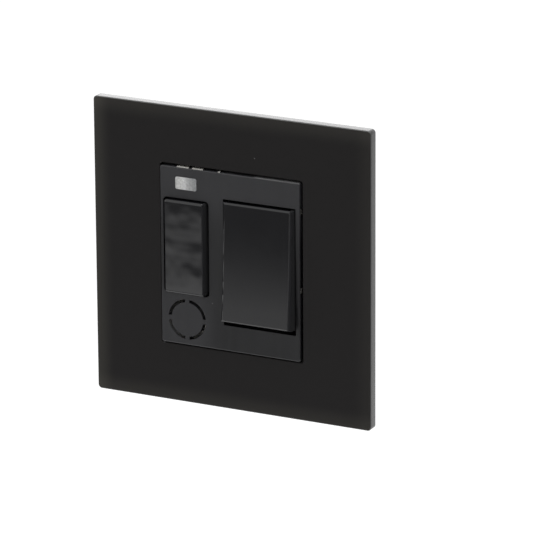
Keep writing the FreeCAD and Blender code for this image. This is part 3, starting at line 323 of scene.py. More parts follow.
def gloss_carrier(colours, low, high):
    """Gloss black polycarbonate on a thin face that sank unevenly over the ribs behind it.

    The face is faintly hollow and leans out at its foot, so it mirrors a dark zone at its top and a
    pale one below, and the dents over its ribs show as soft dark blotches. Its right side is dull.
    """
    hollow_depth = 0.17 * MM
    lean_depth = -0.89 * MM
    dent_depth = 0.16 * MM
    dull_depth = 0.6 * MM
    material, tree, shader = start_material("Gloss moulded carrier", {
        "Base Color": colours.rocker, "IOR": 1.585})
    place = add_node(tree, "ShaderNodeTexCoord").outputs["Object"]
    axes = add_node(tree, "ShaderNodeSeparateXYZ", links={"Vector": place})
    height = add_node(tree, "ShaderNodeMapRange", {"clamp": False},
                      {"From Min": low.z, "From Max": high.z, "To Min": -1.0, "To Max": 1.0},
                      {"Value": axes.outputs["Z"]})
    squared = add_node(tree, "ShaderNodeMath", {"operation": "MULTIPLY"},
                       links={0: height.outputs["Result"], 1: height.outputs["Result"]})
    fourth = add_node(tree, "ShaderNodeMath", {"operation": "MULTIPLY"},
                      links={0: squared.outputs[0], 1: squared.outputs[0]})
    hollow = add_node(tree, "ShaderNodeMath", {"operation": "MULTIPLY"}, {1: hollow_depth},
                      {0: fourth.outputs[0]})
    leaning = add_node(tree, "ShaderNodeMath", {"operation": "MULTIPLY_ADD"}, {1: lean_depth},
                       {0: height.outputs["Result"], 2: hollow.outputs[0]})
    dents = add_node(tree, "ShaderNodeTexNoise", values={"Scale": per_metre(7.0), "Detail": 1.0},
                     links={"Vector": place})
    dented = add_node(tree, "ShaderNodeMath", {"operation": "MULTIPLY_ADD"}, {1: dent_depth},
                      {0: dents.outputs["Fac"], 2: leaning.outputs[0]})
    relief = add_node(tree, "ShaderNodeBump", values={"Distance": 1.0}, links={"Height": dented.outputs[0]})
    tree.links.new(relief.outputs["Normal"], shader.inputs["Normal"])
    softness = add_node(tree, "ShaderNodeMapRange", values={"To Min": 0.07, "To Max": 0.12},
                        links={"Value": dents.outputs["Fac"]})
    dulled = dulled_flank(tree, softness.outputs["Result"], axes.outputs["X"], high.x, dull_depth)
    tree.links.new(dulled, shader.inputs["Roughness"])
    return material


def textured_tray(colours):
    """Black ABS with the fine spark-eroded texture of a part that is hardly seen: matt and even."""
    material, tree, shader = start_material("Fine-textured moulded tray", {
        "Base Color": colours.insert, "IOR": 1.54})
    place = add_node(tree, "ShaderNodeTexCoord").outputs["Object"]
    # The real grain is about 0.1 mm wide, which wouldn't show, so it is drawn coarser.
    grain = add_node(tree, "ShaderNodeTexNoise", values={"Scale": per_metre(0.4), "Detail": 2.0},
                     links={"Vector": place})
    roughen(tree, shader, grain.outputs["Fac"], 0.42, 0.6, 0.02 * MM)
    return material


def clear_lens(left, right):
    """Clear polycarbonate, moulded over a milky light guide.

    The guide shows through as a pale grey, with a painted highlight in one upright band and a fine
    clouding, and the lens swells in one slow upright wave.
    """
    # A wave texture repeats every tau / 20 units of its scale.
    waves_a_unit = math.tau / 20
    material, tree, shader = start_material("Moulded clear polycarbonate", {
        "Roughness": 0.15, "IOR": 1.585, "Transmission Weight": 0.05})
    place = add_node(tree, "ShaderNodeTexCoord").outputs["Object"]
    axes = add_node(tree, "ShaderNodeSeparateXYZ", links={"Vector": place})
    across = add_node(tree, "ShaderNodeMapRange", values={"From Min": left, "From Max": right},
                      links={"Value": axes.outputs["X"]})
    guide = add_node(tree, "ShaderNodeValToRGB", links={"Fac": across.outputs["Result"]})
    stops = guide.color_ramp.elements
    stops[0].position, stops[0].color = 0.0, linear("B4B4B2")
    stops[1].position, stops[1].color = 1.0, linear("ACAEAF")
    # The stops from 0.12 to 0.52, brightest at 0.42, paint a highlight in one upright band.
    for share, code in ((0.12, "ECECEA"), (0.3, "F4F4F2"), (0.42, "FFFFFF"), (0.52, "E0E0E0"),
                        (0.8, "B6B8B9")):
        stops.new(share).color = linear(code)
    grain = add_node(tree, "ShaderNodeTexNoise", values={"Scale": per_metre(0.7), "Detail": 2.0},
                     links={"Vector": place})
    cloud = add_node(tree, "ShaderNodeMapRange", values={"To Min": 0.55, "To Max": 1.45},
                     links={"Value": grain.outputs["Fac"]})
    clouded = add_node(tree, "ShaderNodeMix", {"data_type": "RGBA", "blend_type": "MULTIPLY"}, {0: 1.0},
                       {MIX_LOW: guide.outputs["Color"], MIX_HIGH: cloud.outputs["Result"]})
    tree.links.new(clouded.outputs[MIX_COLOUR], shader.inputs["Base Color"])
    swell = add_node(tree, "ShaderNodeTexWave", {"bands_direction": "X"},
                     {"Scale": per_metre(5.655) * waves_a_unit}, {"Vector": place})
    relief = add_node(tree, "ShaderNodeBump", values={"Distance": 0.08 * MM},
                      links={"Height": swell.outputs["Fac"]})
    tree.links.new(relief.outputs["Normal"], shader.inputs["Normal"])
    return material


def house_dust():
    """A tangle of pale fibres: matt, grey and uneven."""
    material, tree, shader = start_material("House dust", {"Roughness": 0.9, "IOR": 1.45})
    place = add_node(tree, "ShaderNodeTexCoord").outputs["Object"]
    # Real fibres are about 0.02 mm thick, which wouldn't show, so they are drawn thicker.
    fibres = vary_colour(tree, shader, place, 0.1, 2.0, linear("4E4E50"), linear("8A8A8C"))
    relief = add_node(tree, "ShaderNodeBump", values={"Distance": 0.03 * MM}, links={"Height": fibres})
    tree.links.new(relief.outputs["Normal"], shader.inputs["Normal"])
    return material


# Materials of the hidden side


def plated_metal(name, colour, roughness, grain_mm):
    """Plated metal, drawn steel or rolled silver: a dull metal shine with a faint clouding."""
    material, tree, shader = start_material(name, {"Metallic": 1.0})
    place = add_node(tree, "ShaderNodeTexCoord").outputs["Object"]
    clouds = vary_colour(tree, shader, place, grain_mm, 4.0, dimmed(colour, 0.8), colour)
    roughen(tree, shader, clouds, roughness * 0.75, roughness * 1.25, 0.004 * MM)
    return material


def rolled_brass(name, colour, roughness):
    """Brass strip or bar as it leaves the rolls: fine lines along it and a warm, slightly dull shine."""
    material, tree, shader = start_material(name, {"Metallic": 1.0})
    place = add_node(tree, "ShaderNodeTexCoord").outputs["Object"]
    drawn = add_node(tree, "ShaderNodeMapping", values={"Scale": (1.0, 1.0, 0.06)}, links={"Vector": place})
    # The rolls' lines are finer than 0.1 mm, which wouldn't show, so they are drawn wider.
    lines = vary_colour(tree, shader, drawn.outputs["Vector"], 0.25, 2.0, dimmed(colour, 0.82), colour)
    roughen(tree, shader, lines, roughness * 0.8, roughness * 1.2, 0.003 * MM)
    return material


def moulded_pale(name, colour, roughness, speck_mm=0.6):
    """A pale thermoset, ceramic or nylon: nearly even, with faint specks and a soft surface."""
    material, tree, shader = start_material(name, {
        "Roughness": roughness, "IOR": 1.54, "Subsurface Weight": 0.08, "Subsurface Scale": 0.5 * MM,
        "Subsurface Radius": (1.0, 0.9, 0.8)})
    place = add_node(tree, "ShaderNodeTexCoord").outputs["Object"]
    specks = vary_colour(tree, shader, place, speck_mm, 5.0, dimmed(colour, 0.9), colour)
    relief = add_node(tree, "ShaderNodeBump", values={"Distance": 0.01 * MM}, links={"Height": specks})
    tree.links.new(relief.outputs["Normal"], shader.inputs["Normal"])
    return material


def lamp_glass():
    """The neon's thin glass bulb: clear, a little warm, with the electrodes' haze in it."""
    material, tree, shader = start_material("Blown lamp glass", {
        "Roughness": 0.05, "IOR": 1.47, "Transmission Weight": 0.8})
    place = add_node(tree, "ShaderNodeTexCoord").outputs["Object"]
    vary_colour(tree, shader, place, 2.0, 2.0, linear("D8C2AE"), linear("F4ECE2"))
    return material


def banded_resistor(left, right):
    """A lacquered film resistor: a beige body with painted rings round it."""
    material, tree, shader = start_material("Lacquered resistor", {"Roughness": 0.3, "IOR": 1.5})
    place = add_node(tree, "ShaderNodeTexCoord").outputs["Object"]
    axes = add_node(tree, "ShaderNodeSeparateXYZ", links={"Vector": place})
    along = add_node(tree, "ShaderNodeMapRange", values={"From Min": left, "From Max": right},
                     links={"Value": axes.outputs["X"]})
    rings = add_node(tree, "ShaderNodeValToRGB", links={"Fac": along.outputs["Result"]})
    rings.color_ramp.interpolation = "CONSTANT"
    body = linear("C2A77C")
    ring_width = 0.1
    for share, code in ((0.2, "7A3B1E"), (0.4, "2B2B2B"), (0.6, "C9A227")):
        rings.color_ramp.elements.new(share).color = linear(code)
        rings.color_ramp.elements.new(share + ring_width).color = body
    rings.color_ramp.elements[0].color = body
    rings.color_ramp.elements[-1].color = body
    tree.links.new(rings.outputs["Color"], shader.inputs["Base Color"])
    return material


# Mesh helpers

SCREW_SIDES = 16
ROCKER_TILT = math.radians(-3.0)
TERMINAL_NODES = [pole + end for pole in ("live", "neutral", "earth")
                  for end in ("_feed_terminal", "_load_terminal")]


def rounded_outline(width, height, radius, steps=6):
    """The points of an upright rectangle with round corners about the middle, seen from the front."""
    points = []
    for quarter, (side, rise) in enumerate(((1, 1), (-1, 1), (-1, -1), (1, -1))):
        for step in range(steps + 1):
            angle = math.radians(90) * (quarter + step / steps)
            points.append((side * (width / 2 - radius) + radius * math.cos(angle),
                           rise * (height / 2 - radius) + radius * math.sin(angle)))
    return points


def join_loops(form, first, second, slot=0):
    """Closes the strip between two rings of vertices that have the same count."""
    for index in range(len(first)):
        following = (index + 1) % len(first)
        face = form.faces.new((first[index], first[following], second[following], second[index]))
        face.material_index = slot


def add_object(form, name, material, *others):
    """Turns a bmesh into an object of the scene, with one material or more."""
    mesh = bpy.data.meshes.new(name)
    form.to_mesh(mesh)
    form.free()
    for finish in (material,) + others:
        mesh.materials.append(finish)
    placed = bpy.data.objects.new(name, mesh)
    bpy.context.scene.collection.objects.link(placed)
    return placed


def finish_mesh(form, name, body, materials, smooth_degrees=35.0):
    """Turns a bmesh into a piece that rides on a body, with its materials."""
    bmesh.ops.recalc_face_normals(form, faces=form.faces)
    piece = add_object(form, name, *materials)
    piece.data.shade_smooth()
    piece.data.set_sharp_from_angle(angle=math.radians(smooth_degrees))
    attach(piece, body)
    return piece


def finish_nodes(material, *names):
    """Gives these CAD nodes a material, in every slot that they have."""
    for name in names:
        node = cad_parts[name]
        for slot in node.material_slots:
            slot.material = material


def node_centre(name):
    """The middle of a node's box."""
    low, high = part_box(name)
    return (low + high) / 2


def groove(turns, pitch):
    """How deep a thread is cut at a point that many turns along it."""
    deepest = 0.35 * pitch
    return abs(2 * (turns % 1) - 1) * deepest


def screw_ring(form, place, radius, level, pitch=None):
    """A circle of vertices about an axis along Y, cut into by a thread where it has a pitch."""
    points = []
    for step in range(SCREW_SIDES):
        share = step / SCREW_SIDES
        reach = radius - groove(level / pitch - share, pitch) if pitch else radius
        points.append(form.verts.new((place[0] + reach * math.cos(math.tau * share), level,
                                      place[1] + reach * math.sin(math.tau * share))))
    return points


def cross_outline(form, place, reach, half_width, level):
    """Twelve vertices round a cross."""
    corner = [(reach, half_width), (half_width, half_width), (half_width, reach)]
    points = []
    for quarter in range(4):
        for x, z in corner:
            for turn in range(quarter):
                x, z = -z, x
            points.append((place[0] + x, level, place[1] + z))
    return [form.verts.new(point) for point in points]


def turn_screw(form, place, tip, top, shank, head, pitch):
    """A pan-head screw along Y: a thread at its tip's end, a plain shank, and a head with a cross recess."""
    head_depth = 1.5 * MM
    rim_depth = 0.6 * MM
    shoulder_depth = 0.28 * MM
    shoulder_inset = 0.15 * MM
    crown_inset = 0.5 * MM
    recess_depth = 0.9 * MM
    # Each arm of the cross reaches the first length, and is half as wide as the second.
    recess_mouth = (1.25 * MM, 0.3 * MM)
    recess_floor = (0.8 * MM, 0.22 * MM)
    threaded_share = 0.6
    tip_share = 0.55
    rows_a_turn = 4

    seat = top - head_depth
    threaded = tip + (seat - tip) * threaded_share
    rows = max(rows_a_turn, round((threaded - tip) / pitch * rows_a_turn))
    loops = [screw_ring(form, place, shank * tip_share, tip)]
    for row in range(1, rows + 1):
        loops.append(screw_ring(form, place, shank, tip + (threaded - tip) * row / rows, pitch))
    for radius, level in ((shank, threaded + pitch / 4), (shank, seat), (head, seat), (head, top - rim_depth),
                          (head - shoulder_inset, top - shoulder_depth), (head - crown_inset, top)):
        loops.append(screw_ring(form, place, radius, level))
    form.faces.new(loops[0])
    for first, second in zip(loops, loops[1:]):
        join_loops(form, first, second)
    mouth = cross_outline(form, place, *recess_mouth, top)
    floor = cross_outline(form, place, *recess_floor, top - recess_depth)
    join_loops(form, mouth, floor)
    form.faces.new(floor)
    crown = [form.edges.get((loop[n], loop[(n + 1) % len(loop)])) for loop in (loops[-1], mouth)
             for n in range(len(loop))]
    bmesh.ops.triangle_fill(form, use_beauty=True, edges=crown)


def bend_leaf(form, start, along, across, rise, steps=8):
    """A thin arched leaf, as wide as across and as long as along, that stands on its two long edges."""
    thin = 0.3
    foot = 0.04
    loops = []
    for offset in (Vector((0, 0, 0)), along):
        outer = []
        inner = []
        for step in range(steps + 1):
            share = step / steps
            lift = rise * math.sin(math.pi * share)
            outer.append(form.verts.new(start + offset + across * share + lift))
            inset = across * (foot + share * (1 - 2 * foot))
            inner.append(form.verts.new(start + offset + inset + lift * (1 - thin)))
        loops.append(outer + inner[::-1])
        form.faces.new(loops[-1])
    join_loops(form, loops[0], loops[1])


def sweep_wire(form, points, radius, sides=10):
    """A round wire along a row of points, closed at both ends."""
    loops = []
    side = None
    for index, point in enumerate(points):
        ahead = points[min(index + 1, len(points) - 1)] - points[max(index - 1, 0)]
        ahead.normalize()
        side = side or ahead.orthogonal()
        side = (side - ahead * side.dot(ahead)).normalized()
        other = ahead.cross(side)
        loops.append([form.verts.new(point + (side * math.cos(math.tau * step / sides)
                                              + other * math.sin(math.tau * step / sides)) * radius)
                      for step in range(sides)])
    for first, second in zip(loops, loops[1:]):
        join_loops(form, first, second)
    form.faces.new(loops[0])
    form.faces.new(loops[-1])


def coil_points(start, end, radius, wire, turns):
    """Points along a compression spring between two places: its end turns lie close together."""
    axis = (end - start).normalized()
    side = axis.orthogonal().normalized()
    other = axis.cross(side)
    length = (end - start).length
    steps_a_turn = 16
    # A closed end turn starts one wire radius in, climbs by the wire's thickness, and so ends here.
    closed = 3 * wire
    points = []
    for step in range(turns * steps_a_turn + 1):
        turn = step / steps_a_turn
        if turn < 1:
            along = wire + turn * wire * 2
        elif turn > turns - 1:
            along = length - wire - (turns - turn) * wire * 2
        else:
            along = closed + (turn - 1) / (turns - 2) * (length - 2 * closed)
        points.append(start + axis * along + (side * math.cos(math.tau * turn)
                                              + other * math.sin(math.tau * turn)) * radius)
    return points


# Sizes and colours that a user would change


def length_property(name, description, default):
    """A length that a user may change."""
    return bpy.props.FloatProperty(name=name, description=description, unit="LENGTH", default=default)


def colour_property(name, description, code):
    """A colour that a user may change, from its sRGB hex digits."""
    return bpy.props.FloatVectorProperty(
        name=name, description=description, subtype="COLOR", size=4, min=0, max=1, default=linear(code))


class SpurSizes(bpy.types.PropertyGroup):
    """Sizes of the fine pieces."""

    glass_side: length_property("Glass side", "Height and width of the glass", 90 * MM)
    glass_corner: length_property("Glass corner", "Radius of the glass's corners", 1.2 * MM)
    glass_arris: length_property("Glass arris", "Width of the bevel ground on the glass's edges", 0.22 * MM)
    window_corner: length_property("Window corner", "Radius of the window's corners", 0.6 * MM)
    window_gap_across: length_property(
        "Window gap, sides", "Gap between the insert and the glass at each side", 0.3 * MM)
    window_gap_up: length_property(
        "Window gap, ends", "Gap between the insert and the glass above and below", 0.5 * MM)
    screw_head: length_property("Screw head", "Radius of every screw's head", 2.3 * MM)
    housing_shank: length_property("Housing screw shank", "Radius of the housing and clamp screws", 1.3 * MM)
    terminal_shank: length_property("Terminal screw shank", "Radius of the terminal screws", 1.5 * MM)
    screw_pitch: length_property("Thread pitch", "Distance from one turn of a thread to the next", 0.8 * MM)
    spring_wire: length_property("Spring wire", "Radius of the plunger springs' wire", 0.1 * MM)
    spring_keep: bpy.props.FloatProperty(
        name="Pressed spring", description="Length that a spring keeps when its plunger is pushed right in",
        subtype="FACTOR", min=0.5, max=1.0, default=0.9)


class SpurColours(bpy.types.PropertyGroup):
    """Colours of the visible finishes."""

    glass_face: colour_property("Glass face", "Paint seen through the glass", "252323")
    # The glass margin's colour is a painted glow near the edges.
    glass_edge_glow: colour_property("Glass margin", "The lighter margin near the glass's edges", "42403C")
    # The edge's three colours are painted light: shade at the front, a highlight on the bevel and a
    # reflection at the back.
    edge_front_shade: colour_property("Edge, front", "The dark front of the ground edge", "1E1E1E")
    edge_bevel: colour_property("Edge, bevel", "The narrow bevel round the face", "5C5C5C")
    edge_back_reflection: colour_property("Edge, back", "The paler back of the ground edge", "565658")
    insert: colour_property("Insert", "Satin black moulding", "151518")
    # The insert's paler zones are a painted sheen.
    insert_sheen: colour_property(
        "Insert, paler zones", "The band above the wells and the knock-out's corner", "2F2F32")
    rocker: colour_property("Rocker", "Gloss black of the rocker and the carrier", "101014")
    base: colour_property("Base", "White thermoset of the rear housing", "E6E4DE")


# Operators, one for each piece or group of like pieces


class SPUR_OT_glass(bpy.types.Operator):
    """Cuts the glass panel, with its window, its round corners and its ground edges"""

    bl_idname = "spur.glass"
    bl_label = "Glass panel"

    def execute(self, context):
        """The panel's front, edge and back, as rings between the outline and the window."""
        sizes = context.scene.spur_sizes
        colours = context.scene.spur_colours
        low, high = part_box("glass_frame")
        insert_low, insert_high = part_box("front_housing")
        side = sizes.glass_side
        width = insert_high.x - insert_low.x + 2 * sizes.window_gap_across
        height = insert_high.z - insert_low.z + 2 * sizes.window_gap_up
        arris = sizes.glass_arris
        sharpest_corner = 0.2 * MM
        form = bmesh.new()
        outer = []
        inner = []
        for loops, across, up, corner, growth in ((outer, side, side, sizes.glass_corner, -1),
                                                  (inner, width, height, sizes.window_corner, 1)):
            for depth, bevel in ((low.y, arris), (low.y + arris, 0), (high.y - arris, 0), (high.y, arris)):
                outline = rounded_outline(across + 2 * growth * bevel, up + 2 * growth * bevel,
                                          max(corner + growth * bevel, sharpest_corner))
                loops.append([form.verts.new((x, depth, z)) for x, z in outline])
        join_loops(form, outer[0], inner[0])
        join_loops(form, outer[-1], inner[-1])
        for slot, loops in ((1, outer), (0, inner)):
            for first, second in zip(loops, loops[1:]):
                join_loops(form, first, second, slot)
        finishes = [back_painted_glass(colours, side / 2), ground_glass_edge(colours, low.y, high.y)]
        panel = finish_mesh(form, "glass_panel", "front_frame", finishes)
        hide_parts("glass_frame")
        return {"FINISHED"}


class SPUR_OT_mouldings(bpy.types.Operator):
    """Gives the black mouldings of the front their finishes"""

    bl_idname = "spur.mouldings"
    bl_label = "Black mouldings"

    def execute(self, context):
        """The insert, the rocker, the carrier and the tray behind the glass."""
        colours = context.scene.spur_colours
        insert_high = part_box("front_housing")[1]
        rocker_margin = 1.85 * MM
        finish_nodes(satin_insert(colours, insert_high.z), "front_housing")
        finish_nodes(gloss_rocker(colours, insert_high.x - rocker_margin), "rocker")
        finish_nodes(gloss_carrier(colours, *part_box("fuse_carrier")), "fuse_carrier")
        finish_nodes(textured_tray(colours), "frame_backing")
        return {"FINISHED"}


class SPUR_OT_gap_glints(bpy.types.Operator):
    """Bends small bright springs on the insert's sides, put where glints show in the gap as painted glints"""

    bl_idname = "spur.retainers"
    bl_label = "Springs at the gap glints"

    def execute(self, context):
        """Three lie on the top side and two on the right side, in the gap to the glass."""
        # Left and right ends of the leaves on top, and heights of the two at the side, in millimetres, where
        # the painted glints go.
        on_top = ((-17.3, -13.4), (-12.3, -8.8), (-3.9, -3.2))
        at_side = (18.4, -5.3)
        half_length = 0.8
        depth_on_top = 2 * MM
        depth_at_side = 1.4 * MM
        set_back = 0.1 * MM
        filled_share = 0.8

        sizes = context.scene.spur_sizes
        low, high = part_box("front_housing")
        front = low.y + set_back
        form = bmesh.new()
        for left, right in on_top:
            bend_leaf(form, Vector((left * MM, front, high.z)), Vector(((right - left) * MM, 0, 0)),
                      Vector((0, depth_on_top, 0)), Vector((0, 0, sizes.window_gap_up * filled_share)))
        for middle in at_side:
            bend_leaf(form, Vector((high.x, front, (middle - half_length) * MM)),
                      Vector((0, 0, 2 * half_length * MM)), Vector((0, depth_at_side, 0)),
                      Vector((sizes.window_gap_across * filled_share, 0, 0)))
        # The bright nickel lets the leaves catch the lamps as painted glints.
        nickel = plated_metal("Nickel on spring steel", linear("ECEAE4"), 0.2, 1.0)
        finish_mesh(form, "gap_glint_springs", "module", [nickel], 50.0)
        return {"FINISHED"}


class SPUR_OT_dust(bpy.types.Operator):
    """Drops the two specks of dust that lie on the insert and the glass"""

    bl_idname = "spur.dust"
    bl_label = "Dust"

    def execute(self, context):
        """Each speck lies on the face of its node, so many millimetres across and up from the middle."""
        lint = house_dust()
        for name, body, slot, node, across, up, reach in (
                ("dust_on_insert", "module", "insert_plastic", "front_housing", -5.91, -13.05, 0.2 * MM),
                ("dust_on_glass", "front_frame", "black_glass", "glass_frame", 7.79, 32.4, 0.24 * MM)):
            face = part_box(node)[0].y
            form = bmesh.new()
            self.lay_flake(form, Vector((across * MM, face, up * MM)), reach)
            finish_mesh(form, name, body, [lint])
        return {"FINISHED"}

    def lay_flake(self, form, place, reach):
        """An uneven flake, lifted a little near its middle."""
        corners = 9
        mean_share = 0.75
        uneven_share = 0.3
        turn_a_corner = 2.3
        crown_aside = 0.1
        crown_lift = 0.5
        rim = []
        for step in range(corners):
            angle = math.tau * step / corners
            away = reach * (mean_share + uneven_share * math.sin(step * turn_a_corner))
            rim.append(form.verts.new(place + Vector((math.cos(angle), 0, math.sin(angle))) * away))
        crown = form.verts.new(place + Vector((crown_aside, -crown_lift, 0)) * reach)
        for step in range(corners):
            form.faces.new((rim[step], rim[(step + 1) % corners], crown))
        form.faces.new(rim)


class SPUR_OT_window(bpy.types.Operator):
    """Finishes the neon's lens, its lamp, resistor and leads"""

    bl_idname = "spur.window"
    bl_label = "Neon window"

    def execute(self, context):
        """The lens in front, and the lamp with its resistor behind it."""
        low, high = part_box("neon_lens")
        finish_nodes(clear_lens(low.x, high.x), "neon_lens")
        low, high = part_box("neon_resistor")
        finish_nodes(banded_resistor(low.x, high.x), "neon_resistor")
        finish_nodes(lamp_glass(), "neon_lamp")
        finish_nodes(plated_metal("Tinned copper lead", linear("C9C5BC"), 0.25, 1.0), "neon_leads")
        return {"FINISHED"}


class SPUR_OT_base(bpy.types.Operator):
    """Finishes the rear housing, the yoke and the cord clamp"""

    bl_idname = "spur.base"
    bl_label = "Base and yoke"

    def execute(self, context):
        """The white base, the plated yoke and the nylon clamp."""
        colours = context.scene.spur_colours
        finish_nodes(moulded_pale("Moulded white thermoset", colours.base, 0.42), "rear_housing")
        finish_nodes(moulded_pale("Moulded grey nylon", linear("C9C9C4"), 0.38), "cord_clamp")
        finish_nodes(plated_metal("Bright zinc on pressed steel", linear("CFCFCB"), 0.3, 3.0),
                     "mounting_yoke")
        return {"FINISHED"}


class SPUR_OT_screws(bpy.types.Operator):
    """Turns the housing, terminal and clamp screws, with their threads and cross recesses"""

    bl_idname = "spur.screws"
    bl_label = "Screws"

    def execute(self, context):
        """Each group stands for one node, whose back is as high as the group's heads."""
        sizes = context.scene.spur_sizes
        steel = plated_metal("Bright zinc on turned steel", linear("D3D2CC"), 0.22, 0.8)
        head = sizes.screw_head
        for node, shank, slot in (("housing_screws", sizes.housing_shank, "zinc_screw"),
                                  ("terminal_screws", sizes.terminal_shank, "terminal_screw"),
                                  ("cord_clamp_screws", sizes.housing_shank, "zinc_screw")):
            low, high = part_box(node)
            if node == "terminal_screws":
                places = [(centre.x, centre.z) for centre in map(node_centre, TERMINAL_NODES)]
            elif node == "cord_clamp_screws":
                places = [(x, (low.z + high.z) / 2) for x in (low.x + head, high.x - head)]
            else:
                places = [(x, z) for x in (low.x + head, high.x - head)
                          for z in (low.z + head, high.z - head)]
            form = bmesh.new()
            for place in places:
                turn_screw(form, place, low.y, high.y, shank, head, sizes.screw_pitch)
            group = finish_mesh(form, "turned_" + node, "module", [steel], 40.0)
            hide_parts(node)
        return {"FINISHED"}


class SPUR_OT_switch(bpy.types.Operator):
    """Finishes the plungers, springs and contacts of the switch"""

    bl_idname = "spur.switch"
    bl_label = "Switch parts"

    def execute(self, context):
        """Each pole has a plunger, its spring, a tipping bar, a saddle and a fixed contact."""
        nylon = moulded_pale("Moulded natural nylon", linear("EFEBDD"), 0.35)
        steel = plated_metal("Drawn spring steel", linear("AFAFAD"), 0.25, 0.5)
        brass = rolled_brass("Rolled contact brass", linear("D9B36A"), 0.28)
        silver = plated_metal("Rolled contact silver", linear("DEDDD8"), 0.24, 0.5)
        for pole in ("live", "neutral"):
            finish_nodes(nylon, pole + "_plunger")
            self.wind_spring(context.scene.spur_sizes, pole, steel)
            finish_nodes(brass, pole + "_moving_contact", pole + "_saddle", pole + "_fixed_contact")
            finish_nodes(silver, pole + "_moving_tip", pole + "_fixed_tip")
        finish_nodes(brass, "live_link", "earth_strap")
        return {"FINISHED"}

    def wind_spring(self, sizes, pole, steel):
        """A coil that fills its node's box and leans with the rocker."""
        turns = 7
        wire = sizes.spring_wire
        low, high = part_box(pole + "_plunger_spring")
        lean = Matrix.Rotation(ROCKER_TILT, 4, "X")
        middle = (low + high) / 2
        half = (high.y - low.y) / 2 - 2 * wire * math.sin(abs(ROCKER_TILT))
        start = middle + lean @ Vector((0, -half, 0))
        end = middle + lean @ Vector((0, half, 0))
        form = bmesh.new()
        sweep_wire(form, coil_points(start, end, (high.x - low.x) / 2 - wire, wire, turns), wire)
        coil = finish_mesh(form, pole + "_coil_spring", "rocker", [steel], 60.0)
        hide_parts(pole + "_plunger_spring")
        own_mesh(coil)


class SPUR_OT_fuse(bpy.types.Operator):
    """Finishes the cartridge fuse and the two clips that hold it"""

    bl_idname = "spur.fuse"
    bl_label = "Fuse"

    def execute(self, context):
        """The ceramic tube, its two caps and the clips."""
        finish_nodes(moulded_pale("Glazed ceramic tube", linear("ECE9E0"), 0.18, 1.2), "fuse_tube")
        finish_nodes(plated_metal("Nickel on drawn brass", linear("D6D2C6"), 0.2, 1.5),
                     "fuse_cap_upper", "fuse_cap_lower")
        finish_nodes(rolled_brass("Rolled spring brass", linear("DDB970"), 0.25),
                     "fuse_clip_upper", "fuse_clip_lower")
        return {"FINISHED"}


class SPUR_OT_terminals(bpy.types.Operator):
    """Finishes the six terminal blocks"""

    bl_idname = "spur.terminals"
    bl_label = "Terminals"

    def execute(self, context):
        """Sawn and drilled brass bar."""
        finish_nodes(rolled_brass("Machined brass bar", linear("D4AC5E"), 0.3), *TERMINAL_NODES)
        return {"FINISHED"}


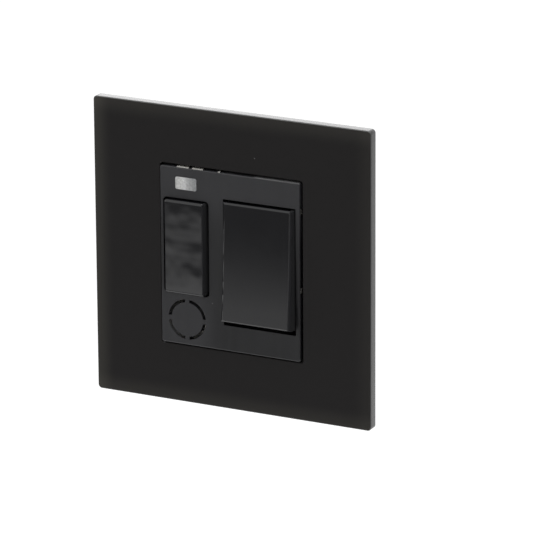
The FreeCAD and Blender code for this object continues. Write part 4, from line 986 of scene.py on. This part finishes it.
class SPUR_OT_studio(bpy.types.Operator):
    """Sets up the floor, the lights, the round card and the camera"""

    bl_idname = "spur.studio"
    bl_label = "Studio"

    def execute(self, context):
        """A white room, a floor, a soft box above and one behind, and a graded card round the front."""
        scene = context.scene
        scene.view_settings.view_transform = "Standard"
        self.light_room(scene)
        self.lay_floor()
        self.hang_lights()
        self.stand_card()
        self.place_camera(scene)
        return {"FINISHED"}

    def light_room(self, scene):
        """White where the camera, a gloss or glass looks, and a plain fill on everything else."""
        world = bpy.data.worlds.new("White room")
        scene.world = world
        world.use_nodes = True
        tree = world.node_tree
        tree.nodes.clear()
        strength = add_node(tree, "ShaderNodeMapRange", values={"To Min": ROOM_FILL, "To Max": 1.0},
                            links={"Value": self.seen_directly(tree)})
        light = add_node(tree, "ShaderNodeBackground", values={"Color": (1, 1, 1, 1)},
                         links={"Strength": strength.outputs["Result"]})
        add_node(tree, "ShaderNodeOutputWorld", links={"Surface": light.outputs["Background"]})

    def seen_directly(self, tree):
        """1 for a ray of the camera or of a mirroring or clear surface, and 0 for soft light."""
        path = add_node(tree, "ShaderNodeLightPath")
        gloss = add_node(tree, "ShaderNodeMath", {"operation": "MAXIMUM"},
                         links={0: path.outputs["Is Camera Ray"], 1: path.outputs["Is Glossy Ray"]})
        seen = add_node(tree, "ShaderNodeMath", {"operation": "MAXIMUM"},
                        links={0: gloss.outputs[0], 1: path.outputs["Is Transmission Ray"]})
        return seen.outputs[0]

    def lay_floor(self):
        """A pale floor well below the unit, which is shown as it hangs."""
        material, tree, shader = start_material("Pale painted floor", {
            "Base Color": linear("F2F2F2"), "Roughness": 0.9, "Emission Color": (1, 1, 1, 1)})
        strength = add_node(tree, "ShaderNodeMapRange", values={"To Min": 0.0, "To Max": FLOOR_GLOW},
                            links={"Value": self.seen_directly(tree)})
        tree.links.new(strength.outputs["Result"], shader.inputs["Emission Strength"])
        form = bmesh.new()
        bmesh.ops.create_grid(form, x_segments=1, y_segments=1, size=FLOOR_SIDE / 2)
        floor = add_object(form, "floor", material)
        floor.location = (0, 0, -FLOOR_DROP)

    def hang_lights(self):
        """A soft box above the unit and another one behind it, as high as the top edge mirrors."""
        for name, place, size, power in SOFT_BOXES:
            light = bpy.data.lights.new(name, "AREA")
            light.shape = "RECTANGLE"
            light.size, light.size_y = size
            light.energy = power
            box = bpy.data.objects.new(name, light)
            box.location = place
            box.rotation_euler = (-Vector(place)).to_track_quat("-Z", "Y").to_euler()
            box.visible_camera = False
            bpy.context.scene.collection.objects.link(box)

    def stand_card(self):
        """A card round the front and both sides, which the black faces mirror in place of the room.

        It is dark grey low down, where the upright faces look, and gets pale from just below the
        level that the middle of the rocker mirrors. Towards the right it is much darker.
        """
        material, tree, shader = start_material("Graded card", {
            "Base Color": (0, 0, 0, 1), "Roughness": 1.0, "Specular IOR Level": 0.0})
        place = add_node(tree, "ShaderNodeTexCoord").outputs["Object"]
        axes = add_node(tree, "ShaderNodeSeparateXYZ", links={"Vector": place})
        height = add_node(tree, "ShaderNodeMapRange", values={"From Min": -FLOOR_DROP, "From Max": CARD_TOP},
                          links={"Value": axes.outputs["Z"]})
        levels = add_node(tree, "ShaderNodeValToRGB", links={"Fac": height.outputs["Result"]})
        stops = levels.color_ramp.elements
        stops[0].position, stops[0].color = 0.0, (CARD_FOOT, CARD_FOOT, CARD_FOOT, 1)
        stops[1].position, stops[1].color = 1.0, (1.0, 1.0, 1.0, 1)
        for up, level in CARD_LEVELS:
            stop = stops.new((up + FLOOR_DROP) / (CARD_TOP + FLOOR_DROP))
            stop.color = (level, level, level, 1)
        side = add_node(tree, "ShaderNodeMapRange",
                        values={"From Min": CARD_FADE[0], "From Max": CARD_FADE[1],
                                "To Min": 1.0, "To Max": CARD_RIGHT},
                        links={"Value": axes.outputs["X"]})
        tree.links.new(levels.outputs["Color"], shader.inputs["Emission Color"])
        tree.links.new(side.outputs["Result"], shader.inputs["Emission Strength"])
        form = bmesh.new()
        foot = []
        top = []
        for step in range(CARD_STEPS + 1):
            angle = math.radians(CARD_START + CARD_SWEEP * step / CARD_STEPS)
            across = CARD_RADIUS * math.cos(angle)
            ahead = -CARD_RADIUS * math.sin(angle)
            foot.append(form.verts.new((across, ahead, -FLOOR_DROP)))
            top.append(form.verts.new((across, ahead, CARD_TOP)))
        for step in range(CARD_STEPS):
            form.faces.new((foot[step], foot[step + 1], top[step + 1], top[step]))
        card = add_object(form, "card", material)
        card.visible_camera = False

    def place_camera(self, scene):
        """The photograph's viewing angle, found from the outline of the square glass."""
        azimuth = math.radians(27.14)
        elevation = math.radians(17.372)
        roll = math.radians(-0.355)
        distance = 1375.27 * MM
        aim = Vector((10.258, -3.682, -2.107)) * MM
        back = Vector((math.sin(azimuth) * math.cos(elevation), -math.cos(azimuth) * math.cos(elevation),
                       math.sin(elevation)))
        lens = bpy.data.cameras.new("camera")
        lens.lens = 316.063
        lens.sensor_width = 36
        lens.clip_end = 20
        camera = bpy.data.objects.new("camera", lens)
        turn = back.to_track_quat("Z", "Y").to_matrix().to_4x4() @ Matrix.Rotation(roll, 4, "Z")
        camera.matrix_world = Matrix.Translation(aim + back * distance) @ turn
        scene.collection.objects.link(camera)
        scene.camera = camera


class SPUR_PT_panel(bpy.types.Panel):
    """Lists the sizes, the colours and the steps"""

    bl_idname = "SPUR_PT_panel"
    bl_label = "Fused spur unit"
    bl_space_type = "VIEW_3D"
    bl_region_type = "UI"
    bl_category = "Spur unit"

    def draw(self, context):
        """The properties, and a button for each step."""
        for group in (context.scene.spur_sizes, context.scene.spur_colours):
            for name in group.bl_rna.properties.keys():
                if name not in ("rna_type", "name"):
                    self.layout.prop(group, name)
        for step in STEPS:
            self.layout.operator(step.bl_idname)


GROUPS = (SpurSizes, SpurColours)
STEPS = (SPUR_OT_studio, SPUR_OT_glass, SPUR_OT_mouldings, SPUR_OT_gap_glints, SPUR_OT_dust, SPUR_OT_window,
         SPUR_OT_base, SPUR_OT_screws, SPUR_OT_switch, SPUR_OT_fuse, SPUR_OT_terminals)


def register():
    """Makes the classes and the two groups of properties known to Blender."""
    for kind in GROUPS + STEPS + (SPUR_PT_panel,):
        bpy.utils.register_class(kind)
    bpy.types.Scene.spur_sizes = bpy.props.PointerProperty(type=SpurSizes)
    bpy.types.Scene.spur_colours = bpy.props.PointerProperty(type=SpurColours)


def unregister():
    """Takes back what register did."""
    del bpy.types.Scene.spur_colours
    del bpy.types.Scene.spur_sizes
    for kind in reversed(GROUPS + STEPS + (SPUR_PT_panel,)):
        bpy.utils.unregister_class(kind)


def main():
    """Runs every step in order."""
    register()
    bpy.ops.spur.studio()
    bpy.ops.spur.glass()
    bpy.ops.spur.mouldings()
    bpy.ops.spur.retainers()
    bpy.ops.spur.dust()
    bpy.ops.spur.window()
    bpy.ops.spur.base()
    bpy.ops.spur.screws()
    bpy.ops.spur.switch()
    bpy.ops.spur.fuse()
    bpy.ops.spur.terminals()


if __name__ == "__main__":
    main()
